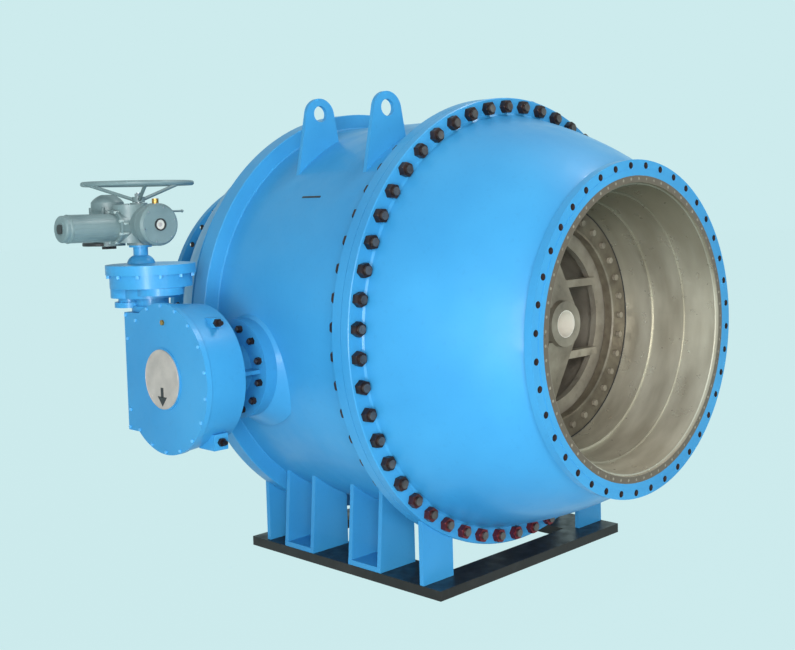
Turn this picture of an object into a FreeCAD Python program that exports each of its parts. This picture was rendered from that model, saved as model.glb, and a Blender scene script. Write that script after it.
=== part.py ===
import FreeCAD, Part
import math
import os
import re
import Sketcher
from FreeCAD import Placement, Rotation, Vector

# Plunger valve, DN1600 PN6, with worm gearbox and electric actuator. The origin is the centre of the
# outlet flange's bolting face, +X is the direction of flow and +Z is up. Millimetres and degrees.
# A size that ends in _at is a distance upstream of that face.
doc = FreeCAD.newDocument("plunger_valve")
dims = doc.addObject("Spreadsheet::Sheet", "dims")
known = []
pieces = []
WORD = re.compile(r"[a-z][a-z0-9_]*")
ALONG_X, ALONG_Y, ALONG_Z = Vector(1, 0, 0), Vector(0, 1, 0), Vector(0, 0, 1)
CENTRE = Vector(0, 0, 0)
# turns that lay a piece made along Z, or one turned about X, along the axis that is asked for
FROM_Z = {"x": Rotation(ALONG_Y, 90), "y": Rotation(ALONG_X, -90), "z": Rotation()}
FROM_X = {"x": Rotation(), "y": Rotation(ALONG_Z, 90), "z": Rotation(ALONG_Y, -90)}


def sizes(cells):
    for name, number in cells.items():
        known.append(name)
        dims.set(f"A{len(known)}", name)
        dims.set(f"B{len(known)}", str(number))
        dims.setAlias(f"B{len(known)}", name)
    dims.recompute()


def link(text):
    return WORD.sub(lambda word: "dims." + word[0] if word[0] in known else word[0], str(text))


def num(text):
    return float(dims.evalExpression(link(text)))


def point(x, y, z):
    return Vector(num(x), num(y), num(z))


def bind(item, **cells):
    for name, text in cells.items():
        item.setExpression(name, link(text))


def seat(item, at, rotation):
    item.Placement = Placement(CENTRE, rotation)
    for side, text in zip("xyz", at):
        item.setExpression("Placement.Base." + side, link(text))
    return item


def rod(radius, length, at, axis="x"):
    item = doc.addObject("Part::Cylinder", "rod")
    bind(item, Radius=radius, Height=length)
    return seat(item, at, FROM_Z[axis])


def taper(radius, end_radius, length, at, axis="x"):
    item = doc.addObject("Part::Cone", "taper")
    bind(item, Radius1=radius, Radius2=end_radius, Height=length)
    return seat(item, at, FROM_Z[axis])


def block(length, width, height, at, rotation=None):
    item = doc.addObject("Part::Box", "block")
    bind(item, Length=length, Width=width, Height=height)
    return seat(item, at, rotation or Rotation())


def joined(*items):
    item = doc.addObject("Part::MultiFuse", "joined")
    item.Shapes = list(items)
    item.Refine = True
    return item


def cut(base, *tools):
    item = doc.addObject("Part::Cut", "cut")
    item.Base = base
    item.Tool = tools[0] if len(tools) == 1 else joined(*tools)
    return item


def made(*shapes):
    item = doc.addObject("Part::Feature", "made")
    item.Shape = shapes[0] if len(shapes) == 1 else Part.makeCompound(list(shapes))
    return item


def piece(label, item):
    item.Label = label
    pieces.append(item)
    return item


def around(shape, axis, centre, count, first):
    # copies of a shape made above the centre, the first turned from the top as drilled() turns its holes
    copies = []
    for index in range(int(num(count))):
        copy = shape.copy()
        copy.rotate(centre, axis, -num(first) - 360.0 * index / num(count))
        copies.append(copy)
    return copies


def draw(sketch, outline):
    # closed outline; a corner is (along, radius), or (along, radius, arc radius, bulge side) when the
    # edge to the next corner is an arc that bulges to that side of the straight line
    corners = [Vector(num(corner[0]), num(corner[1]), 0) for corner in outline]
    edges = []
    for index, corner in enumerate(outline):
        start, end = corners[index], corners[(index + 1) % len(corners)]
        edge = Part.LineSegment(start, end)
        if len(corner) > 2:
            half = start.distanceToPoint(end) / 2
            rise = num(corner[2]) - math.sqrt(num(corner[2]) ** 2 - half ** 2)
            across = Vector(start.y - end.y, end.x - start.x, 0).normalize()
            edge = Part.Arc(start, (start + end) / 2 + across * rise * corner[3], end)
        edges.append(sketch.addGeometry(edge, False))
    ends = []
    for index, edge in enumerate(edges):
        near = sketch.getPoint(edge, 1).distanceToPoint(corners[index])
        far = sketch.getPoint(edge, 2).distanceToPoint(corners[index])
        ends.append((1, 2) if near < far else (2, 1))
    for index, edge in enumerate(edges):
        before = index - 1
        join = (edges[before], ends[before][1], edge, ends[index][0])
        sketch.addConstraint(Sketcher.Constraint("Coincident", *join))
        for kind, text, line in zip(("DistanceX", "DistanceY"), outline[index], (-2, -1)):
            if abs(num(text)) < 1e-9:
                sketch.addConstraint(Sketcher.Constraint("PointOnObject", edge, ends[index][0], line))
                continue
            held = Sketcher.Constraint(kind, -1, 1, edge, ends[index][0], num(text))
            sketch.setExpression(f"Constraints[{sketch.addConstraint(held)}]", link(text))
        if len(outline[index]) > 2:
            held = Sketcher.Constraint("Radius", edge, num(outline[index][2]))
            sketch.setExpression(f"Constraints[{sketch.addConstraint(held)}]", link(outline[index][2]))


def origin_part(body, role):
    return [item for item in body.Origin.OriginFeatures if item.Role == role][0]


def turned(*outlines, at=("0", "0", "0"), axis="x"):
    # a body turned about its own X axis, which is then laid along the given axis
    body = doc.addObject("PartDesign::Body", "turned")
    sketch = body.newObject("Sketcher::SketchObject", "outline")
    sketch.AttachmentSupport = [(origin_part(body, "XY_Plane"), "")]
    sketch.MapMode = "FlatFace"
    for outline in outlines:
        draw(sketch, outline)
    turn = body.newObject("PartDesign::Revolution", "turn")
    turn.Profile = sketch
    turn.ReferenceAxis = (sketch, ["H_Axis"])
    turn.Angle = 360.0
    return seat(body, at, FROM_X[axis])


def drilled(body, radius, circle, count, first, face, deep):
    # a circle of equal holes about the body's X axis, cut to both sides of a plane across it
    sketch = body.newObject("Sketcher::SketchObject", "hole")
    sketch.AttachmentSupport = [(origin_part(body, "YZ_Plane"), "")]
    sketch.MapMode = "FlatFace"
    sketch.setExpression("AttachmentOffset.Base.z", link(face))
    angle = math.radians(num(first))
    centre = Vector(num(circle) * math.sin(angle), num(circle) * math.cos(angle), 0)
    edge = sketch.addGeometry(Part.Circle(centre, Vector(0, 0, 1), num(radius)), False)
    across = Sketcher.Constraint("DistanceX", -1, 1, edge, 3, centre.x)
    up = Sketcher.Constraint("DistanceY", -1, 1, edge, 3, centre.y)
    size = Sketcher.Constraint("Radius", edge, num(radius))
    texts = (f"({circle}) * sin(({first}) * 1 deg)", f"({circle}) * cos(({first}) * 1 deg)", radius)
    for held, text in zip((across, up, size), texts):
        sketch.setExpression(f"Constraints[{sketch.addConstraint(held)}]", link(text))
    hole = body.newObject("PartDesign::Pocket", "drill")
    hole.Profile = sketch
    hole.Midplane = True
    bind(hole, Length=f"2 * ({deep})")
    pattern = body.newObject("PartDesign::PolarPattern", "pattern")
    pattern.Originals = [hole]
    pattern.Axis = (origin_part(body, "X_Axis"), [""])
    pattern.Angle = 360.0
    pattern.setExpression("Occurrences", link(count))
    body.Tip = pattern
    return body


def hexagon(across, length, bore="0"):
    # a hexagon bar along +X from the origin, bored when it is a nut
    corner = num(across) / math.sqrt(3)
    corners = [Vector(0, corner * math.cos(math.radians(60 * side)),
                      corner * math.sin(math.radians(60 * side)))
               for side in range(7)]
    bar = Part.Face(Part.makePolygon(corners)).extrude(Vector(num(length), 0, 0))
    end = num("nut_bevel") * corner
    bevel = Part.makeCone(end + num(length), end, num(length), CENTRE, ALONG_X)
    bar = bar.common(bevel)
    if num(bore) > 0:
        bar = bar.cut(Part.makeCylinder(num(bore), num(length) * 3, Vector(-num(length), 0, 0), ALONG_X))
    return bar


def moved(shape, x="0", y="0", z="0"):
    copy = shape.copy()
    copy.translate(point(x, y, z))
    return copy


# Bores, flanges and the joint between the two halves of the body
flange_sizes = {
    "flange_radius": 910, "flange_circle": 880, "flange_holes": 40, "flange_hole": 18,
    "flange_hole_first": 4.5, "flange_thickness": 50, "over": 10, "end_gap": 2, "edge": 4,
    "root_fillet": 10, "raised_radius": 860, "raised_height": 3, "outlet_neck_radius": 855,
    "barrel_bend": 2609, "joint_at": 940,
    "joint_radius": 1300, "joint_circle": 1248, "joint_bolts": 52, "joint_first": 3.4615,
    "outlet_joint_flange": 57, "gasket_thickness": 3, "inlet_joint_flange": 70,
    "barrel_root_radius": 1200, "stud_radius": 22.5, "stud_room": 1.5, "chamber_radius": 1150,
    "wall": 50, "seat_web_at": 660, "seat_web": 60, "seat_web_bore": 606, "seat_ring_radius": 690,
    "seat_ring_at": 600, "web_root_depth": 180, "web_root_drop": 15, "web_bend_depth": 96,
    "web_bend_drop": 75, "web_face_drop": 250, "cavity_at": 150, "cavity_drop": 5, "cavity_rise": 100,
    "cavity_foot": 70, "fit_gap": 0.1, "liner_wall": 20, "liner_throat_radius": 695,
    "liner_rib_at": 410, "liner_rib_radius": 713, "liner_step_at": 206, "liner_bore": 745,
    "liner_mouth": 784, "liner_flange_radius": 825, "liner_flange_depth": 12}
sizes(flange_sizes)


def outlet_body():
    liner_out = "liner_bore + liner_wall + fit_gap"
    throat_out = "liner_throat_radius + liner_wall + fit_gap"
    body = turned(
        [("raised_height", "liner_flange_radius + fit_gap"),
         ("raised_height", "raised_radius"),
         ("0", "raised_radius"),
         ("0", "flange_radius"),
         ("-flange_thickness", "flange_radius"),
         ("-flange_thickness", "outlet_neck_radius", "barrel_bend", -1),
         ("gasket_thickness + outlet_joint_flange + root_fillet - joint_at", "barrel_root_radius"),
         ("gasket_thickness + outlet_joint_flange - joint_at", "barrel_root_radius + root_fillet"),
         ("gasket_thickness + outlet_joint_flange - joint_at", "joint_radius - edge"),
         ("gasket_thickness + outlet_joint_flange - edge - joint_at", "joint_radius"),
         ("gasket_thickness - joint_at", "joint_radius"),
         ("gasket_thickness - joint_at", "chamber_radius"),
         ("-seat_web_at - web_root_depth", "chamber_radius - web_root_drop"),
         ("-seat_web_at - web_bend_depth", "chamber_radius - web_bend_drop"),
         ("-seat_web_at - seat_web", "chamber_radius - web_face_drop"),
         ("-seat_web_at - seat_web", "seat_web_bore"),
         ("-seat_web_at", "seat_web_bore"),
         ("-seat_web_at", "seat_ring_radius + fit_gap"),
         ("-seat_ring_at", "seat_ring_radius + fit_gap"),
         ("-seat_ring_at", throat_out),
         ("-liner_rib_at", "liner_rib_radius + liner_wall + fit_gap"),
         ("-liner_step_at", liner_out),
         ("-liner_flange_depth", "liner_mouth + liner_wall + fit_gap"),
         ("-liner_flange_depth", "liner_flange_radius + fit_gap")],
        [("-cavity_at", "liner_bore + liner_wall + wall"),
         ("-cavity_at", "outlet_neck_radius - cavity_drop"),
         ("-liner_rib_at", "outlet_neck_radius + cavity_rise"),
         ("over - seat_web_at", "chamber_radius - cavity_rise"),
         ("over - seat_web_at", "seat_ring_radius + cavity_foot"),
         ("-liner_rib_at", "liner_rib_radius + liner_wall + wall"),
         ("-liner_step_at", "liner_bore + liner_wall + wall")])
    drilled(body, "flange_hole", "flange_circle", "flange_holes", "flange_hole_first",
            "-flange_thickness / 2", "flange_thickness / 2 + over / 2")
    drilled(body, "seat_bolt + fit_gap", "seat_bolt_circle", "seat_bolts", "seat_bolt_first",
            "-seat_web_at", "seat_bolt_sunk")
    return piece("outlet_body", drilled(body, "stud_radius + stud_room", "joint_circle", "joint_bolts",
                                        "joint_first", "-joint_at", "outlet_joint_flange + 2 * over"))


# Inlet half: cylinder with the stiffening band, the cone to the inlet flange and the drive boss
inlet_sizes = {
    "shell_radius": 1195, "band_at": 2166, "band_width": 119, "band_radius": 1286,
    "shell_end_at": 2430, "inlet_neck_radius": 840, "inlet_neck_at": 3030, "inlet_bend": 1577,
    "inlet_face_at": 3123, "inlet_flange_thickness": 46, "inlet_bore": 795, "shaft_at": 1865,
    "shaft_height": -200, "boss_radius": 280, "boss_fillet": 294, "boss_face": 1255, "boss_bolts": 12,
    "boss_circle": 234, "boss_stud": 12, "boss_stud_depth": 45, "boss_first": 15, "tunnel_radius": 130,
    "tunnel_bore": 95, "tunnel_end": 1215, "boss_draft": 60, "plug_count": 40, "plug_across": 26,
    "plug_at": 3055, "plug_height": 8}
sizes(inlet_sizes)


def drive_boss():
    # boss with a conical skirt, reaching into the shell's wall
    depth = "sqrt((shell_radius - wall / 2)^2 - shaft_height^2) - wall"
    boss = rod("boss_radius", f"boss_face - ({depth})", ("-shaft_at", "-boss_face", "shaft_height"), "y")
    skirt = taper("boss_radius", "boss_fillet + boss_draft", f"tunnel_end - ({depth})",
                  ("-shaft_at", "-tunnel_end", "shaft_height"), "y")
    return joined(boss, skirt)


def inlet_shell():
    shell = turned(
        [("-joint_at - inlet_joint_flange", "shell_radius + root_fillet"),
         ("-joint_at - inlet_joint_flange - 3 * root_fillet", "shell_radius"),
         ("-shell_end_at", "shell_radius"),
         ("-shell_end_at", "shell_radius - wall"),
         ("-joint_at - inlet_joint_flange", "shell_radius - wall")])
    inside = rod("shell_radius - wall / 2", "4 * boss_radius", ("-shaft_at - 2 * boss_radius", "0", "0"))
    bore = rod("tunnel_radius + fit_gap", "tunnel_end", ("-shaft_at", "-tunnel_end", "shaft_height"), "y")
    mouth = rod("tunnel_bore", "boss_face", ("-shaft_at", "-boss_face", "shaft_height"), "y")
    stud = Part.makeCylinder(num("boss_stud"), num("boss_stud_depth"),
                             point("-shaft_at", "-boss_face", "shaft_height + boss_circle"), ALONG_Y)
    studs = around(stud, ALONG_Y, point("-shaft_at", "0", "shaft_height"), "boss_bolts", "boss_first")
    return piece("inlet_shell", cut(joined(shell, cut(drive_boss(), inside)), bore, mouth,
                                    made(*studs)))


def shell_rings():
    # the rings welded to the cylinder: joint flange, stiffening band, and the cone with the inlet flange
    flange = turned(
        [("-joint_at", "joint_radius"),
         ("edge - joint_at - inlet_joint_flange", "joint_radius"),
         ("-joint_at - inlet_joint_flange", "joint_radius - edge"),
         ("-joint_at - inlet_joint_flange", "shell_radius - wall"),
         ("-joint_at", "chamber_radius")])
    piece("inlet_joint_flange", drilled(flange, "stud_radius + stud_room", "joint_circle", "joint_bolts",
                                        "joint_first", "-joint_at", "inlet_joint_flange + 2 * over"))
    band = turned(
        [("-band_at", "shell_radius"),
         ("-band_at", "band_radius - edge"),
         ("-band_at - edge", "band_radius"),
         ("edge - band_at - band_width", "band_radius"),
         ("-band_at - band_width", "band_radius - edge"),
         ("-band_at - band_width", "shell_radius")])
    piece("stiffening_band", cut(band, drive_boss()))
    cone = turned(
        [("-shell_end_at", "shell_radius", "inlet_bend", -1),
         ("-inlet_neck_at", "inlet_neck_radius"),
         ("inlet_flange_thickness - inlet_face_at", "inlet_neck_radius"),
         ("inlet_flange_thickness - inlet_face_at", "flange_radius"),
         ("raised_height - inlet_face_at", "flange_radius"),
         ("raised_height - inlet_face_at", "raised_radius"),
         ("-inlet_face_at", "raised_radius"),
         ("-inlet_face_at", "inlet_bore"),
         ("-inlet_neck_at", "inlet_bore", "inlet_bend - wall", 1),
         ("-shell_end_at", "shell_radius - wall")])
    piece("inlet_cone", drilled(cone, "flange_hole", "flange_circle", "flange_holes", "flange_hole_first",
                                "inlet_flange_thickness / 2 - inlet_face_at",
                                "inlet_flange_thickness / 2 + over / 2"))


# Guide bulb in the middle of the flow, on four ribs, with the shaft's tunnels
bulb_sizes = {
    "bulb_radius": 690, "bulb_bore": 604, "bulb_relief": 42, "bulb_front_at": 1060,
    "bulb_rear_at": 2400, "rib_thickness": 45, "rib_front_at": 1250, "rib_rear_at": 2350,
    "rib_angle": 45, "nose_tip_at": 2880, "nose_bend": 736, "nose_wall": 30, "nose_flat": 30,
    "nose_spigot": 25, "ring_depth": 10, "ring_width": 80, "ring_front_at": 1075, "ring_rear_at": 1280,
    "plunger_radius": 600, "running_gap": 0.08, "seal_at": 1175, "seal_width": 15, "seal_depth": 12,
    "far_boss_length": 120, "far_boss_skin": 30, "bulb_chamfer": 40, "bush_wall": 15,
    "bush_length": 100, "shaft_radius": 75}
sizes(bulb_sizes)


def guide_bulb():
    bulb = turned(
        [("-bulb_front_at", "bulb_bore"),
         ("-bulb_front_at", "bulb_radius - bulb_chamfer"),
         ("-bulb_front_at - 1.5 * bulb_chamfer", "bulb_radius"),
         ("-bulb_rear_at", "bulb_radius"),
         ("-bulb_rear_at", "bulb_bore"),
         ("-bulb_rear_at + 2 * nose_spigot", "bulb_bore"),
         ("-bulb_rear_at + 2 * nose_spigot + bulb_relief", "bulb_bore + bulb_relief"),
         ("-rib_front_at - 3 * ring_width - bulb_relief", "bulb_bore + bulb_relief"),
         ("-rib_front_at - 3 * ring_width", "bulb_bore"),
         ("-ring_rear_at - ring_width", "bulb_bore"),
         ("-ring_rear_at - ring_width", "bulb_bore + ring_depth"),
         ("-ring_rear_at", "bulb_bore + ring_depth"),
         ("-ring_rear_at", "bulb_bore"),
         ("-seal_at - seal_width", "bulb_bore"),
         ("-seal_at - seal_width", "bulb_bore + seal_depth"),
         ("-seal_at", "bulb_bore + seal_depth"),
         ("-seal_at", "bulb_bore"),
         ("-ring_front_at - ring_width", "bulb_bore"),
         ("-ring_front_at - ring_width", "bulb_bore + ring_depth"),
         ("-ring_front_at", "bulb_bore + ring_depth"),
         ("-ring_front_at", "bulb_bore")])
    ribs = []
    for quarter in range(4):
        rib = doc.addObject("Part::Box", "rib")
        bind(rib, Length="rib_rear_at - rib_front_at", Width="rib_thickness",
             Height="shell_radius - wall - fit_gap - bulb_radius + wall")
        turn = Rotation(ALONG_X, num("rib_angle") + 90 * quarter)
        corner = turn.multVec(point("0", "-rib_thickness / 2", "bulb_radius - wall"))
        corner.x = num("-rib_rear_at")
        rib.Placement = Placement(corner, turn)
        ribs.append(rib)
    beyond = cut(rod("2 * shell_radius", "rib_rear_at", ("-rib_rear_at - over", "0", "0")),
                 rod("shell_radius - wall - fit_gap", "2 * rib_rear_at", ("-1.5 * rib_rear_at", "0", "0")))
    tunnel = rod("tunnel_radius", "tunnel_end - bulb_bore + wall", ("-shaft_at", "-tunnel_end",
                                                                    "shaft_height"), "y")
    far_boss = rod("tunnel_radius", "wall + far_boss_length", ("-shaft_at", "bulb_bore - wall",
                                                               "shaft_height"), "y")
    way = rod("shaft_radius + bush_wall", "tunnel_end + over + bulb_bore + far_boss_length - far_boss_skin",
              ("-shaft_at", "-tunnel_end - over", "shaft_height"), "y")
    inside = rod("bulb_bore", "6 * tunnel_radius", ("-shaft_at - 3 * tunnel_radius", "0", "0"))
    whole = joined(bulb, cut(joined(*ribs), beyond), cut(joined(tunnel, far_boss), inside))
    return piece("guide_bulb", cut(whole, way))


def bulb_nose():
    nose = turned(
        [("-bulb_rear_at", "bulb_radius", "nose_bend", -1),
         ("-nose_tip_at", "nose_flat"),
         ("-nose_tip_at", "0"),
         ("nose_wall - nose_tip_at", "0"),
         ("nose_wall - nose_tip_at", "nose_flat", "nose_bend - nose_wall", 1),
         ("-bulb_rear_at - nose_wall", "bulb_radius - 2 * nose_wall"),
         ("-bulb_rear_at - nose_wall", "bulb_bore - nose_wall"),
         ("nose_spigot - bulb_rear_at", "bulb_bore - nose_wall"),
         ("nose_spigot - bulb_rear_at", "bulb_bore - fit_gap"),
         ("-bulb_rear_at", "bulb_bore - fit_gap")])
    return piece("bulb_nose", nose)


def guide_rings():
    rings = []
    for start in ("ring_front_at", "ring_rear_at"):
        outer = rod("bulb_bore + ring_depth", "ring_width", (f"-{start} - ring_width", "0", "0"))
        inner = rod("plunger_radius + running_gap", "2 * ring_width", (f"-{start} - 1.5 * ring_width", "0",
                                                                       "0"))
        rings.append(cut(outer, inner))
    group("guide_rings", *rings)
    outer = rod("bulb_bore + seal_depth", "seal_width", ("-seal_at - seal_width", "0", "0"))
    inner = rod("plunger_radius + 3 * fit_gap", "3 * seal_width", ("-seal_at - 2 * seal_width", "0", "0"))
    piece("plunger_seal", cut(outer, inner))


# Fasteners of the body joint, the gasket and the neck plugs
joint_sizes = {
    "nut_across": 70, "nut_height": 36, "nut_bevel": 0.94, "stud_end": 14, "thread_gap": 0.2}
sizes(joint_sizes)


def joint_fasteners():
    front = "gasket_thickness + outlet_joint_flange - joint_at"
    rear = "-joint_at - inlet_joint_flange"
    ring = ("joint_bolts", "joint_first")
    reach = num(f"{front} - ({rear}) + 2 * nut_height + 2 * stud_end")
    stud = Part.makeCylinder(num("stud_radius"), reach,
                             point(f"{rear} - nut_height - stud_end", "0", "joint_circle"), ALONG_X)
    nut = hexagon("nut_across", "nut_height", "stud_radius + thread_gap")
    rear_nut = nut.copy()
    rear_nut.rotate(CENTRE, ALONG_Z, 180)
    piece("joint_studs", made(*around(stud, ALONG_X, CENTRE, *ring)))
    front_nut, rear_nut = moved(nut, front, "0", "joint_circle"), moved(rear_nut, rear, "0", "joint_circle")
    piece("joint_nuts", made(*around(front_nut, ALONG_X, CENTRE, *ring), *around(rear_nut, ALONG_X, CENTRE,
                                                                                 *ring)))
    gasket = rod("joint_circle - stud_radius - over", "gasket_thickness", ("-joint_at", "0", "0"))
    hole = rod("chamber_radius", "3 * gasket_thickness", ("-joint_at - gasket_thickness", "0", "0"))
    piece("joint_gasket", cut(gasket, hole))
    plug = hexagon("plug_across", "plug_height + over")
    plug.rotate(CENTRE, ALONG_Y, -90)
    plugs = around(moved(plug, "-plug_at", "0", "inlet_neck_radius - over"), ALONG_X, CENTRE, "plug_count",
                   "flange_hole_first")
    neck = Part.makeCylinder(num("inlet_neck_radius"), num("4 * plug_across"),
                             point("-plug_at - 2 * plug_across", "0", "0"), ALONG_X)
    piece("neck_plugs", made(*[item.cut(neck) for item in plugs]))


# Stainless liner of the outlet and the bolted seat
liner_sizes = {
    "liner_screws": 72, "liner_screw_circle": 808, "liner_screw": 8, "liner_screw_depth": 6,
    "liner_chamfer": 4, "liner_lip": 6, "liner_ridge": 12, "liner_ridge_width": 14, "liner_step": 9,
    "seat_bore": 563, "seat_bolts": 33, "seat_bolt_circle": 622, "seat_bolt_across": 34, "seat_bolt_height": 20,
    "seat_bolt": 12, "seat_bolt_first": 3.5, "seat_bolt_sunk": 42, "seat_chamfer": 8,
    "seal_inner": 570, "seal_outer": 586, "seat_seal_height": 9, "seat_seal_stand": 4.5,
    "plunger_front_at": 665}
sizes(liner_sizes)


def outlet_liner():
    liner = turned(
        [("raised_height", "liner_mouth + liner_chamfer"),
         ("raised_height", "liner_flange_radius"),
         ("-liner_flange_depth", "liner_flange_radius"),
         ("-liner_flange_depth", "liner_mouth + liner_wall"),
         ("-liner_step_at", "liner_bore + liner_wall"),
         ("-liner_rib_at", "liner_rib_radius + liner_wall"),
         ("-seat_ring_at", "liner_throat_radius + liner_wall"),
         ("-seat_ring_at", "liner_throat_radius"),
         ("-liner_rib_at - liner_ridge_width", "liner_rib_radius - liner_ridge / 2"),
         ("-liner_rib_at - liner_ridge_width", "liner_rib_radius - liner_ridge"),
         ("-liner_rib_at", "liner_rib_radius - liner_ridge"),
         ("-liner_rib_at", "liner_rib_radius"),
         ("-liner_step_at", "liner_bore - liner_step"),
         ("-liner_step_at", "liner_bore"),
         ("-4 * liner_chamfer", "liner_mouth - liner_lip"),
         ("-3 * liner_chamfer", "liner_mouth")])
    piece("outlet_liner", drilled(liner, "liner_screw + fit_gap", "liner_screw_circle", "liner_screws", "0",
                                  "raised_height", "liner_screw_depth"))
    screw = Part.makeCylinder(num("liner_screw"), num("liner_screw_depth - end_gap / 2"),
                              point("raised_height - liner_screw_depth", "0",
                                    "liner_screw_circle"), ALONG_X)
    piece("liner_screws", made(*around(screw, ALONG_X, CENTRE, "liner_screws", "0")))


def seat_parts():
    ring = turned(
        [("-seat_ring_at", "seat_bore + seat_chamfer"),
         ("-seat_ring_at", "seat_ring_radius"),
         ("-seat_web_at", "seat_ring_radius"),
         ("-seat_web_at", "seal_outer"),
         ("seat_seal_height - seat_seal_stand - seat_web_at", "seal_outer"),
         ("seat_seal_height - seat_seal_stand - seat_web_at", "seal_inner"),
         ("-seat_web_at", "seal_inner"),
         ("-seat_web_at", "seat_bore"),
         ("-seat_ring_at - seat_chamfer", "seat_bore")])
    piece("seat_ring", drilled(ring, "seat_bolt + stud_room", "seat_bolt_circle", "seat_bolts",
                               "seat_bolt_first", "-seat_ring_at", "2 * seat_web"))
    seal = rod("seal_outer", "seat_seal_height", ("-seat_web_at - seat_seal_stand", "0", "0"))
    hole = rod("seal_inner", "3 * seat_seal_height", ("-seat_web_at - seat_seal_height", "0", "0"))
    piece("seat_seal", cut(seal, hole))
    head = hexagon("seat_bolt_across", "seat_bolt_height")
    shank = Part.makeCylinder(num("seat_bolt"),
                              num("seat_web_at - seat_ring_at + seat_bolt_sunk - end_gap"),
                              point("seat_ring_at - seat_web_at - seat_bolt_sunk + end_gap", "0",
                                    "0"), ALONG_X)
    bolt = moved(head.fuse(shank), "-seat_ring_at", "0", "seat_bolt_circle")
    piece("seat_bolts", made(*around(bolt, ALONG_X, CENTRE, "seat_bolts", "seat_bolt_first")))


# Plunger: open spider in front, drum behind, and the bar with the yoke that the crank's block drives
plunger_sizes = {
    "plunger_length": 700, "plunger_chamfer": 4, "drum_bore": 540, "rim_bore": 480, "rim_depth": 40,
    "hub_front_at": 514, "hub_radius": 130, "hub_bore": 78, "hub_length": 256, "arm_root_half": 120,
    "arm_tip_half": 50, "arm_root_depth": 150, "hub_draft": 20, "arm_setback": 30, "arm_sink": 30,
    "spider_rib": 45,
    "spider_rib_height": 210, "spider_rib_at": 645, "spider_rib_depth": 55, "bar_front_at": 640,
    "crank_radius": 400, "crank_lean": 30, "yoke_half": 70, "yoke_frame": 45, "block_half_width": 60,
    "block_half_height": 70, "slot_gap": 5, "slot_end_gap": 10}
sizes(plunger_sizes)


def plunger():
    drum = turned(
        [("-plunger_front_at", "rim_bore"),
         ("-plunger_front_at", "plunger_radius - plunger_chamfer"),
         ("-plunger_front_at - plunger_chamfer", "plunger_radius"),
         ("-plunger_front_at - plunger_length", "plunger_radius"),
         ("-plunger_front_at - plunger_length", "drum_bore"),
         ("-plunger_front_at - rim_depth", "drum_bore"),
         ("-plunger_front_at - rim_depth", "rim_bore")])
    hub = taper("hub_radius + hub_draft", "hub_radius", "hub_length", ("-hub_front_at - hub_length", "0",
                                                                       "0"))
    bore = rod("hub_bore", "2 * hub_length", ("-hub_front_at - 1.5 * hub_length", "0", "0"))
    arms = []
    for side in (1, -1):
        sections = []
        for reach, half, front, depth in (("hub_radius - arm_sink", "arm_root_half",
                                           "hub_front_at + arm_setback", "arm_root_depth"),
                                          ("rim_bore + arm_sink / 2", "arm_tip_half", "plunger_front_at",
                                           "rim_depth")):
            corners = [point(f"-({front})", half, reach), point(f"-({front})", f"-{half}", reach),
                       point(f"-({front}) - {depth}", f"-{half}", reach),
                       point(f"-({front}) - {depth}", half, reach)]
            for corner in corners:
                corner.z *= side
            sections.append(Part.makePolygon(corners + corners[:1]))
        arms.append(made(Part.makeLoft(sections, True, True)))
    ribs = []
    for height in ("spider_rib_height", "-spider_rib_height"):
        ribs.append(block("spider_rib_depth", "2 * sqrt(rim_bore^2 - spider_rib_height^2) + 4 * over",
                          "spider_rib", ("-spider_rib_at - spider_rib_depth",
                                         "-sqrt(rim_bore^2 - spider_rib_height^2) - 2 * over",
                                         f"{height} - spider_rib / 2")))
    return piece("plunger", cut(joined(drum, hub, *arms, *ribs), bore))


def plunger_bar():
    pin_x = "crank_radius * sin(crank_lean * 1 deg) - shaft_at"
    low = "shaft_height + crank_radius * cos(crank_lean * 1 deg) - block_half_height - slot_end_gap"
    high = "shaft_height + crank_radius + block_half_height + slot_end_gap"
    half = "block_half_width + slot_gap"
    bar = rod("hub_bore", f"-bar_front_at - ({pin_x})", (pin_x, "0", "0"))
    head = block(f"2 * ({half} + yoke_frame)", "2 * yoke_half", f"{high} + yoke_frame + hub_bore",
                 (f"{pin_x} - ({half}) - yoke_frame", "-yoke_half", "-hub_bore"))
    slot = block(f"2 * ({half})", "4 * yoke_half", f"{high} - ({low})", (f"{pin_x} - ({half})",
                                                                         "-2 * yoke_half", low))
    return piece("plunger_bar", cut(joined(bar, head), slot))


# Crankshaft, its webs and pin, and the slide block
crank_sizes = {
    "web_inner": 85, "web_thickness": 60, "web_hub_radius": 110, "web_pin_radius": 75,
    "pin_radius": 40, "shaft_far_end": 680, "shaft_near_end": 1715, "wheel_at": 1600,
    "wheel_width": 80, "stub_radius": 60, "stub_end": 1738, "stub_length": 22, "block_gap": 2}
sizes(crank_sizes)


def crank_pin_place():
    return ("crank_radius * sin(crank_lean * 1 deg) - shaft_at",
            "shaft_height + crank_radius * cos(crank_lean * 1 deg)")


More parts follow.
